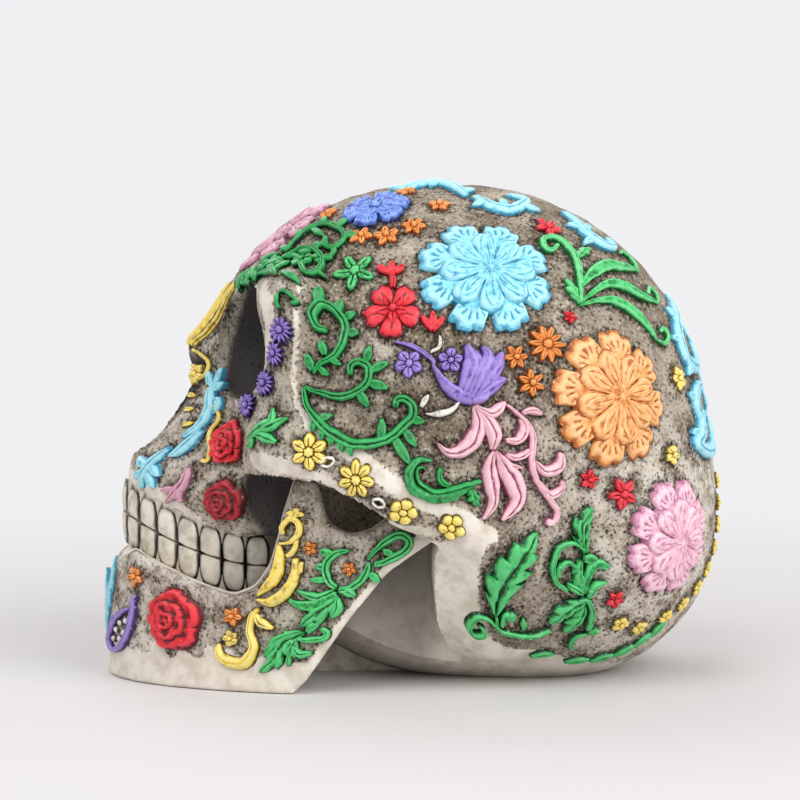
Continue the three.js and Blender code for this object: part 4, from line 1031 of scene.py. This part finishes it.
# blue arcs on the crown, blue and gold scrolls at the nose, loops and dots at the chin
# each arc: its place, its line, how wide it is before its tip, and the base and tip of its leaves
arcs = [
    (
        (133, 75), [(-8, -3), (-4, 3), (0.5, 6.5), (5, 4.5), (9, -2), (11.5, -6)], 1.9,
        [(-7, -1, -11, 2), (9, -2, 13, 0), (0, 6, 0, 1)],
    ),
    (
        (143, 57.5), [(-6, 6), (-4, -0.5), (0.5, -3.5), (5, -1), (9, 4), (5, 7.5)], 1.6,
        [(-5, 2, -9, 0), (6, 0, 11, -3), (0.5, -3, 1, 3)],
    ),
    (
        (161, 42), [(-1, 10), (-2, 5), (-4, -1), (-2, -5.5), (3, -7), (6, -3)], 1.6,
        [(-3, 2, -8, 4), (-3, -4, -10, -5), (-3, 1, 2, 1)],
    ),
]
arcLeaves = ((2.6, 0.5), (2.6, -0.6), (2.4, 0.6))
crownArcs = []
for spot, line, lateHalf, ends in arcs:
    parts = [frond(line, [0.7, 1.9, 2.2, 2.2, lateHalf, 0.7], 2, 0.5)]
    parts += leaves([end + form for end, form in zip(ends, arcLeaves)])
    crownArcs += allAt(onSkull(*spot), parts)
ornament("blueArcs", "skyBlue", crownArcs)
noseScroll = allAt(onSkull(17.4, 4), [
    frond([(4, 10), (2, 6), (3.5, 1), (2, -4), (-2, -8)], [1, 1.7, 1.6, 1.5, 0.8], 1.9),
    *leaves([(3, 8, 7, 13, 2.4), (3, 7, 8.5, 9, 2.4), (2, 8, -1.5, 12.5, 2.4)]),
    frond([(3, 3), (6.5, 4), (7, 1), (4.5, 0)], [0.6, 1.1, 1, 0.5], 1.7),
])
noseTwig = frond([(3, 6), (0, 2), (-3, -1), (-6, -2)], [0.6, 1.5, 1.6, 0.5], 1.9)
noseScroll.append((onSkull(20.7, -6), noseTwig))
noseScroll += allAt(onSkull(12.6, -10), [
    frond([(5, 6), (1, 2), (-2, -2), (-3, -6)], [0.7, 1.8, 1.7, 0.5], 1.9),
    *leaves([
        (0, 1, -6, 3, 2.6, 0.5), (-1, -1, -6.5, -3.5, 2.6, -0.5), (1, 1, 4.5, -2, 2.4, 0.5),
        (0, -1, 2.5, -5.5, 2.4, 0.5),
    ]),
])
ornament("noseScrolls", "skyBlue", noseScroll)
noseGold = [
    scroll([(3, 2.5), (6, 1.5), (8.5, -1.5), (6.5, -6), (8, -11), (7.5, -15.5), (5.5, -14.5)], 1.1, 1.4),
    *leaves([(-8.5, 5.5, -5, 5, 1.6), (-6.5, 0.5, -3, 1, 1.6), (-4, -4, -1, -3.5, 1.6)], 1.3),
]
noseLoop = [scroll([(-3, 1), (3, -1), (5, 3), (1.5, 5.5), (-1.5, 6.5)], 1, 1.3)]
ornament("noseGold", "yellow", allAt(onSkull(17.4, 4), noseGold) + allAt(onSkull(7, 14.5), noseLoop))
chinLoop = [
    scroll([(8, 10), (7, 4.5), (5, -1), (1, -5.5), (-4.5, -7.5)], 1.9),
    scroll([(6, 6), (-1, 3), (-6, -1.5), (-8, -5), (-4.5, -7.5)], 1.9),
]
ornament("chinLoops", "purple", allAt(onJaw(-83.4, 15), chinLoop))
dots = [(3.5, 2), (0.5, 1), (2.5, -1.5), (-2, -1), (0, -3.5), (-4, -4)]
ornament("chinDots", "ivoryPaint", allAt(onJaw(-83.4, 15), [bud(u, v, 0.9, 1.4) for u, v in dots]))
print("small leaves made")


# castings


def relax(bm, verts, turns):
    for turn in range(turns):
        bmesh.ops.smooth_vert(bm, verts=verts, factor=0.5, use_axis_x=True, use_axis_y=True, use_axis_z=True)


def remeshed(node, voxel, extra=None):
    # a finer, even skin over a copy of a CAD node
    bm = bmesh.new()
    bm.from_mesh(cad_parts[node].data)
    bmesh.ops.remove_doubles(bm, verts=bm.verts, dist=1e-6)
    if extra:
        extra(bm)
    mesh = bpy.data.meshes.new(node + "Source")
    bm.to_mesh(mesh)
    bm.free()
    source = bpy.data.objects.new(node + "Source", mesh)
    bpy.context.scene.collection.objects.link(source)
    skin = source.modifiers.new("skin", "REMESH")
    skin.mode = "VOXEL"
    skin.voxel_size = voxel * mm
    made = source.evaluated_get(bpy.context.evaluated_depsgraph_get()).to_mesh()
    bm = bmesh.new()
    bm.from_mesh(made)
    bpy.data.objects.remove(source)
    return bm


def keepOuterShell(bm):
    # drops the sealed hollow inside, which nothing shows
    shells, seen = [], set()
    for vert in bm.verts:
        if vert in seen:
            continue
        seen.add(vert)
        shell, waiting = [], [vert]
        while waiting:
            v = waiting.pop()
            shell.append(v)
            for edge in v.link_edges:
                other = edge.other_vert(v)
                if other not in seen:
                    seen.add(other)
                    waiting.append(other)
        shells.append(shell)
    shells.sort(key=len)
    bmesh.ops.delete(bm, geom=[v for shell in shells[:-1] for v in shell], context="VERTS")


def pointsOf(bm):
    return np.array([v.co for v in bm.verts]) / mm


def movePoints(bm, points):
    # nothing goes below the floor
    points[:, 2] = np.maximum(points[:, 2], 0)
    for vert, p in zip(bm.verts, points * mm):
        vert.co = p


def closeTo(points, lines):
    # the shortest distance to bands given as (points, radius), each side alike
    q = folded(points)
    near = np.full(len(q), np.inf)
    for line, radius in lines:
        for start, end in zip(line, line[1:]):
            near = np.minimum(near, rodDistance(q, start, end, radius, radius))
    return near


def shadowAndWashAround(points, reach):
    # painted shadow and brown wash round the edges of the relief
    tree = kdtree.KDTree(2 * len(footprints))
    for i, (x, y, z) in enumerate(footprints):
        tree.insert((x, y, z), 2 * i)
        tree.insert((-x, y, z), 2 * i + 1)
    tree.balance()
    away = np.array([tree.find(p)[2] for p in points])
    return ridge(away, reach)


def setLayers(bm, layers):
    for name, values in layers.items():
        layer = bm.verts.layers.float.new(name)
        for vert, value in zip(bm.verts, values):
            vert[layer] = value


cranium = {
    "voxel": 1.06,
    "pit": 0.3,
    "pitSize": 2.2,
    "lump": 0.45,
    "lumpSize": 6,
    # reach of the painted shadow and brown wash round the relief
    "reliefShadowAndWash": 2.0,
    # cut in below this depth, cast relief above this height, and the turns that smooth them
    "cut": (-0.9, 8),
    "relief": (0.4, (6, 6, 0)),
    # bare bone bands: eye rim, cheek arch and its low edge, brow, mastoid and foot, under the cheek, lip
    "bone": [
        ([(49, -34, 113), (51, -35, 106), (51, -35, 98), (51, -36, 88), (53, -35, 80), (55, -31, 75)], 0.6),
        (
            [(55, -31, 75), (58, -22, 69), (61, -17, 65), (64, -12, 61),
             (65, -5, 56), (64, 9, 50), (64, 17, 45)],
            2.2,
        ),
        ([(55, -37, 62), (57, -28, 61), (58, -22, 56), (60, -15, 51), (61, -8, 47), (62, 2, 46)], 1.3),
        ([(40, -44, 112), (47, -43, 108), (47, -42, 101), (44, -44, 94)], 2.4),
        ([(62, 11, 44), (58, 9, 38), (52, 9, 26), (46, 14, 14), (40, 28, 6), (30, 42, 2), (0, 58, 0)], 5.5),
        ([(40, -52, 64), (50, -44, 64), (54, -36, 64)], 3),
        ([(27, -62, 44), (18, -74, 52), (0, -82, 58)], 3),
    ],
}


def plugSeat(bm):
    # closes the hollow above the pour plug
    radius, depth, middle = 13 * mm, 6.7 * mm, (0, 40 * mm, 8.65 * mm)
    tube = {"segments": 32, "radius1": radius, "radius2": radius, "depth": depth}
    made = bmesh.ops.create_cone(bm, cap_ends=True, **tube)["verts"]
    bmesh.ops.translate(bm, vec=middle, verts=made)


def orbitDistance(points):
    orbit = skull["orbit"]
    d = folded(points) - orbit["middle"]
    c, s = math.cos(math.radians(orbit["splay"])), math.sin(math.radians(orbit["splay"]))
    local = np.stack([d[:, 0] * c + d[:, 1] * s, d[:, 1] * c - d[:, 0] * s, d[:, 2]], axis=1)
    near = np.linalg.norm(local / orbit["half"], axis=1)
    return (near - 1) * min(orbit["half"])


bm = remeshed("cranium", cranium["voxel"], plugSeat)
keepOuterShell(bm)
depth = skullDistance(pointsOf(bm))
cutDepth, cutTurns = cranium["cut"]
relax(bm, [v for v, d in zip(bm.verts, depth) if d < cutDepth], cutTurns)
# the cast relief goes down to the form, since the painted pieces stand there
castHeight, castTurns = cranium["relief"]
castRelief = [v for v, d in zip(bm.verts, depth) if d > castHeight]
for turns in castTurns:
    points = pointsOf(bm)
    depth = skullDistance(points)
    settle = np.where(depth > 0, 1, smooth((1.4 + depth) / 0.6))
    movePoints(bm, points - skullSlope(points) * (depth * settle)[:, None])
    relax(bm, castRelief, turns)
points = pointsOf(bm)
depth = skullDistance(points)
side, y, z = np.abs(points[:, 0]), points[:, 1], points[:, 2]
hollow = smooth((-depth - 1) / 2)
rim = orbitDistance(points)
# bare bone: the bands, walls cut in low down, palate, front of the mastoid, foot, outer eye rim
bare = [
    smooth((1.6 - closeTo(points, cranium["bone"])) / 2.8),
    0.9 * smooth((-depth - 0.3) / 1.5) * smooth((46 - z) / 8),
    0.9 * smooth((32 - z) / 6) * smooth((6 - y) / 6),
    smooth((15 - y) / 4) * smooth((46 - z) / 5) * (side > 33) * (y > -5),
    0.85 * smooth((13 - z - 0.15 * np.maximum(y - 15, 0)) / 4),
    0.6 * smooth((1.2 - rim) / 0.8) * (z < 112) * smooth((side - 24) / 6),
]
bone = np.max(bare, axis=0)
# dark paint in the eye's orbit and the nostril; painted shade in the hollow over the teeth, at the top of the
# hollow behind the cheek, and on the underside, darker higher up under the palate
dark = [
    smooth((0.8 - rim) / 1.2) * smooth((-depth - 0.8) / 2) * smooth((y + 56.5 - 0.25 * (z - 80)) / 2),
    smooth((11 - side) / 3) * smooth((z - 62) / 4) * smooth((93 - z) / 3) * (y < -45),
    hollow * (y < -30) * (z < 62),
    0.35 * hollow * smooth((z - 36) / 6) * (side > 18) * (y > -50) * (y < 12),
    (0.4 + 0.3 * smooth((z - 5) / 30)) * smooth((46 - z) / 6) * smooth((9 - y) / 8) * (side < 42) * (y > -50),
]
pale = np.maximum(0.85 * smooth((y - 15) / 50) * smooth((95 - z) / 40), 0.6 * smooth((-25 - y) / 20))
out = skullSlope(points)
rough = (1 - 0.85 * bone) * smooth((1.5 - np.abs(depth)) / 0.8) * (z > 0.8)
# painted shadow and brown wash round the relief, less of it on bare bone
reliefShadowAndWash = shadowAndWashAround(points, cranium["reliefShadowAndWash"]) * (1 - 0.8 * bone)
setLayers(bm, {"bone": bone, "pale": pale, "darkPaintAndShade": np.max(dark, axis=0), "reliefShadowAndWash": reliefShadowAndWash})
lumps = []
for p in points:
    hole = noise.voronoi(Vector(p / cranium["pitSize"]))[0][0]
    lump = cranium["lump"] * noise.noise(Vector(p / cranium["lumpSize"]))
    lumps.append(lump - cranium["pit"] * max(0.0, 1 - hole / 0.45))
movePoints(bm, points + out * (np.array(lumps) * rough)[:, None])
asPiece(bm, "craniumCasting", ground, ["cranium"])
print("cranium", len(bm.faces), "faces")
bm.free()

mandible = {
    "voxel": 0.8,
    "rounding": 5,
    "skin": 0.8,
    # reach of the painted shadow and brown wash round the relief
    "reliefShadowAndWash": 1.8,
    "boneFoot": 11,
    # the round notch under the cheek arch: middle and half sizes in y and z, reach, smoothing turns
    "notch": {"middle": (-20, 58), "half": (8.5, 14), "reach": 1.5, "turns": 24},
    # bare bone: rear edge, front edge of the branch
    "bone": [
        ([(49, -33, 3), (51, -22, 18), (53, -10, 33), (53, 0, 42)], 3),
        ([(46, -46, 28), (48, -40, 40), (50, -36, 50)], 1),
    ],
}
bm = remeshed("mandible", mandible["voxel"])
points = pointsOf(bm)
skin = overJaw(points, 0)
away = np.linalg.norm(points - skin, axis=1)
movePoints(bm, np.where((away < mandible["skin"])[:, None], skin, points))
relax(bm, bm.verts, mandible["rounding"])
notch = mandible["notch"]
off = np.hypot(*((pointsOf(bm)[:, 1:] - notch["middle"]) / notch["half"]).T)
relax(bm, [v for v, d in zip(bm.verts, off) if d < notch["reach"]], notch["turns"])
points = pointsOf(bm)
away = np.linalg.norm(points - overJaw(points, 0), axis=1)
wave = np.array([noise.noise(Vector(p / 5)) for p in points])
# bare bone: the bands, the wavy foot, the inside, and a thin rub all over
bare = [
    smooth((1 - closeTo(points, mandible["bone"])) / 2),
    smooth((mandible["boneFoot"] + 4 * wave - points[:, 2]) / 2.5),
    smooth((away - 3) / 2),
    np.full(len(points), 0.12),
]
bone = np.max(bare, axis=0)
pale = 0.4 + 0.5 * smooth((-50 - points[:, 1]) / 20)
# painted shadow and brown wash round the relief, less of it on bare bone
reliefShadowAndWash = shadowAndWashAround(points, mandible["reliefShadowAndWash"]) * (1 - 0.8 * bone)
setLayers(bm, {"bone": bone, "pale": pale, "reliefShadowAndWash": reliefShadowAndWash})
movePoints(bm, points)
asPiece(bm, "mandibleCasting", ground, ["mandible"])
print("mandible", len(bm.faces), "faces")
bm.free()

# teeth: rounded blocks on one arch, each row to one side of the bite line
teeth = {
    "perSide": 8,
    "arch": {"y": -42, "halfWidth": 25.5, "length": 38},
    "thickness": 7,
    "height": 8.2,
    "gap": 0.1,
    "gumShare": 0.62,
    "rounding": 0.4,
    "upper": {"edge": 0.1, "gum": 1},
    "lower": {"edge": -0.1, "gum": -1},
}


def archStations(count):
    arch = teeth["arch"]
    turn = np.linspace(math.pi, 2 * math.pi, 800)
    line = np.stack([arch["halfWidth"] * np.cos(turn), arch["y"] + arch["length"] * np.sin(turn)], axis=1)
    run = np.concatenate([[0], np.cumsum(np.linalg.norm(np.diff(line, axis=0), axis=1))])
    at = (np.arange(count) + 0.5) / count * run[-1]
    place = np.stack([np.interp(at, run, line[:, k]) for k in (0, 1)], axis=1)
    ahead = np.stack([np.interp(at + 0.2, run, line[:, k]) for k in (0, 1)], axis=1)
    heading = (ahead - place) / np.linalg.norm(ahead - place, axis=1, keepdims=True)
    return place, heading, run[-1] / count


def toothBlock(bm, washAndShading, row, place, heading, width, gumEnd):
    # a rounded crown, or the wedge of gum between two crowns
    bmesh.ops.create_cube(bm, size=2)
    edges = [e for e in bm.edges if not e.tag]
    bmesh.ops.subdivide_edges(bm, edges=edges, cuts=9, use_grid_fill=True)
    fresh = [v for v in bm.verts if not v.tag]
    q = np.array([v.co for v in fresh])
    ball = q / np.linalg.norm(q, axis=1, keepdims=True) * 1.2
    q = q + (ball - q) * teeth["rounding"]
    gum = (q[:, 2] * row["gum"] + 1) / 2
    # crowns narrow towards the gum, wedges towards the bite
    narrow = 1.04 * np.sqrt(1 - (np.clip(gum - 0.45, 0, 0.55) / 0.6) ** 2)
    narrow = 0.1 + 0.9 * gum**2 if gumEnd else narrow
    off = q[:, 1] * teeth["thickness"] / 2 * (0.82 if gumEnd else 1 - 0.12 * gum)
    flat = place + (q[:, 0] * width / 2 * narrow)[:, None] * heading
    flat = flat + off[:, None] * np.array([heading[1], -heading[0]])
    low, high = (0.5, 1.15) if gumEnd else (0, 1)
    lift = row["edge"] + row["gum"] * teeth["height"] * (low + (high - low) * gum)
    z = biteHeight(flat[:, 1]) + lift
    # wash between the crowns and at the gum, and painted shade that darkens the teeth towards the back
    side = smooth((np.abs(q[:, 0]) - 0.72) / 0.26)
    dark = 0.25 + 0.3 * side if gumEnd else 0.95 * side + 0.8 * smooth((gum - 0.84) / 0.16)
    # painted shade: darker towards the back teeth
    dark = np.minimum(dark + 0.4 * smooth((place[1] + 66) / 22), 1)
    for vert, (x, y), h, shade in zip(fresh, flat * mm, z * mm, dark):
        vert.co = (x, y, h)
        vert[washAndShading] = shade
        vert.tag = True
    for edge in bm.edges:
        edge.tag = True


def toothRow(row):
    bm = bmesh.new()
    washAndShading = bm.verts.layers.float.new("washAndShading")
    count = 2 * teeth["perSide"]
    places, headings, width = archStations(count)
    for place, heading in zip(places, headings):
        toothBlock(bm, washAndShading, row, place, heading, width - teeth["gap"], False)
    for a, b, heading in zip(places, places[1:], (headings + np.roll(headings, -1, axis=0)) / 2):
        toothBlock(bm, washAndShading, row, (a + b) / 2, heading / np.hypot(*heading), width * teeth["gumShare"], True)
    return bm


for name in ("upper", "lower"):
    bm = toothRow(teeth[name])
    asPiece(bm, name + "Teeth", ivory, [name + "_teeth"])
    bm.free()
# these two keep the CAD's form
for name in ("web", "base_plug"):
    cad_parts[name].material_slots[0].material = ivory
print("teeth made")

# studio: pale floor, soft lamps and the photograph's viewing angle
studio = {
    "target": (0, -3.2 * mm, 78 * mm),
    "azimuth": 86,
    "elevation": 3.6,
    "distance": 0.9,
    "lens": 140,
    "clip": 50,
    "floor": "#d9d6d6",
    "backdrop": "#f0f0f3",
    "world": 0.5,
    "floorHalf": 6,
    "floorDrop": 0.1 * mm,
    "melt": (0.16, 0.55),
    # place, size and watts of each soft lamp
    "lamps": [((0.7, -0.5, 1.1), 0.9, 7), ((0.75, 0.65, 0.7), 0.9, 9), ((-0.9, -0.3, 0.9), 0.9, 5)],
}
scene = bpy.context.scene
scene.view_settings.view_transform = "Standard"
target = Vector(studio["target"])
azimuth, elevation = math.radians(studio["azimuth"]), math.radians(studio["elevation"])
away = Vector(
    (math.sin(azimuth) * math.cos(elevation), -math.cos(azimuth) * math.cos(elevation), math.sin(elevation))
)
cameraData = bpy.data.cameras.new("camera")
cameraData.lens = studio["lens"]
cameraData.clip_end = studio["clip"]
camera = bpy.data.objects.new("camera", cameraData)
camera.location = target + away * studio["distance"]
camera.rotation_euler = away.to_track_quat("Z", "Y").to_euler()
scene.collection.objects.link(camera)
scene.camera = camera
for i, (place, size, watts) in enumerate(studio["lamps"]):
    lampData = bpy.data.lights.new("softbox%d" % i, "AREA")
    lampData.size = size
    lampData.energy = watts
    lamp = bpy.data.objects.new("softbox%d" % i, lampData)
    lamp.location = place
    lamp.rotation_euler = (Vector(place) - target).to_track_quat("Z", "Y").to_euler()
    scene.collection.objects.link(lamp)

world = bpy.data.worlds.new("studio")
scene.world = world
world.use_nodes = True
tree = world.node_tree
tree.nodes.clear()
rays = addNode(tree, "ShaderNodeLightPath")
seen = maths(tree, "MAXIMUM", rays.outputs["Is Camera Ray"], rays.outputs["Is Glossy Ray"])
seen = maths(tree, "MAXIMUM", seen, rays.outputs["Is Transmission Ray"])
fill = addNode(tree, "ShaderNodeBackground", None, {"Color": (1, 1, 1, 1), "Strength": studio["world"]})
shown = addNode(tree, "ShaderNodeBackground", None, {"Color": linear(studio["backdrop"]), "Strength": 1})
sky = addNode(tree, "ShaderNodeMixShader", None, {0: seen, 1: fill.outputs[0], 2: shown.outputs[0]})
addNode(tree, "ShaderNodeOutputWorld", None, {"Surface": sky.outputs[0]})

# painted board floor that melts into the backdrop away from the object
bm = bmesh.new()
bmesh.ops.create_grid(bm, x_segments=1, y_segments=1, size=studio["floorHalf"])
bmesh.ops.translate(bm, vec=(0, 0, -studio["floorDrop"]), verts=bm.verts)
mesh = bpy.data.meshes.new("floor")
bm.to_mesh(mesh)
bm.free()
floorMaterial, tree, shader = newMaterial("paintedBoard", 0.9, 0.1)
shader.inputs["Base Color"].default_value = linear(studio["floor"])
where = addNode(tree, "ShaderNodeTexCoord").outputs["Object"]
far = addNode(tree, "ShaderNodeVectorMath", {"operation": "LENGTH"}, {0: where}).outputs["Value"]
rays = addNode(tree, "ShaderNodeLightPath")
melt = maths(tree, "MULTIPLY", between(tree, far, *studio["melt"]), rays.outputs["Is Camera Ray"])
glow = addNode(tree, "ShaderNodeEmission", None, {"Color": linear(studio["backdrop"]), "Strength": 1})
both = addNode(tree, "ShaderNodeMixShader", None, {0: melt, 1: shader.outputs[0], 2: glow.outputs[0]})
tree.links.new(both.outputs[0], tree.nodes["Material Output"].inputs["Surface"])
mesh.materials.append(floorMaterial)
floor = bpy.data.objects.new("floor", mesh)
scene.collection.objects.link(floor)
print("studio made")
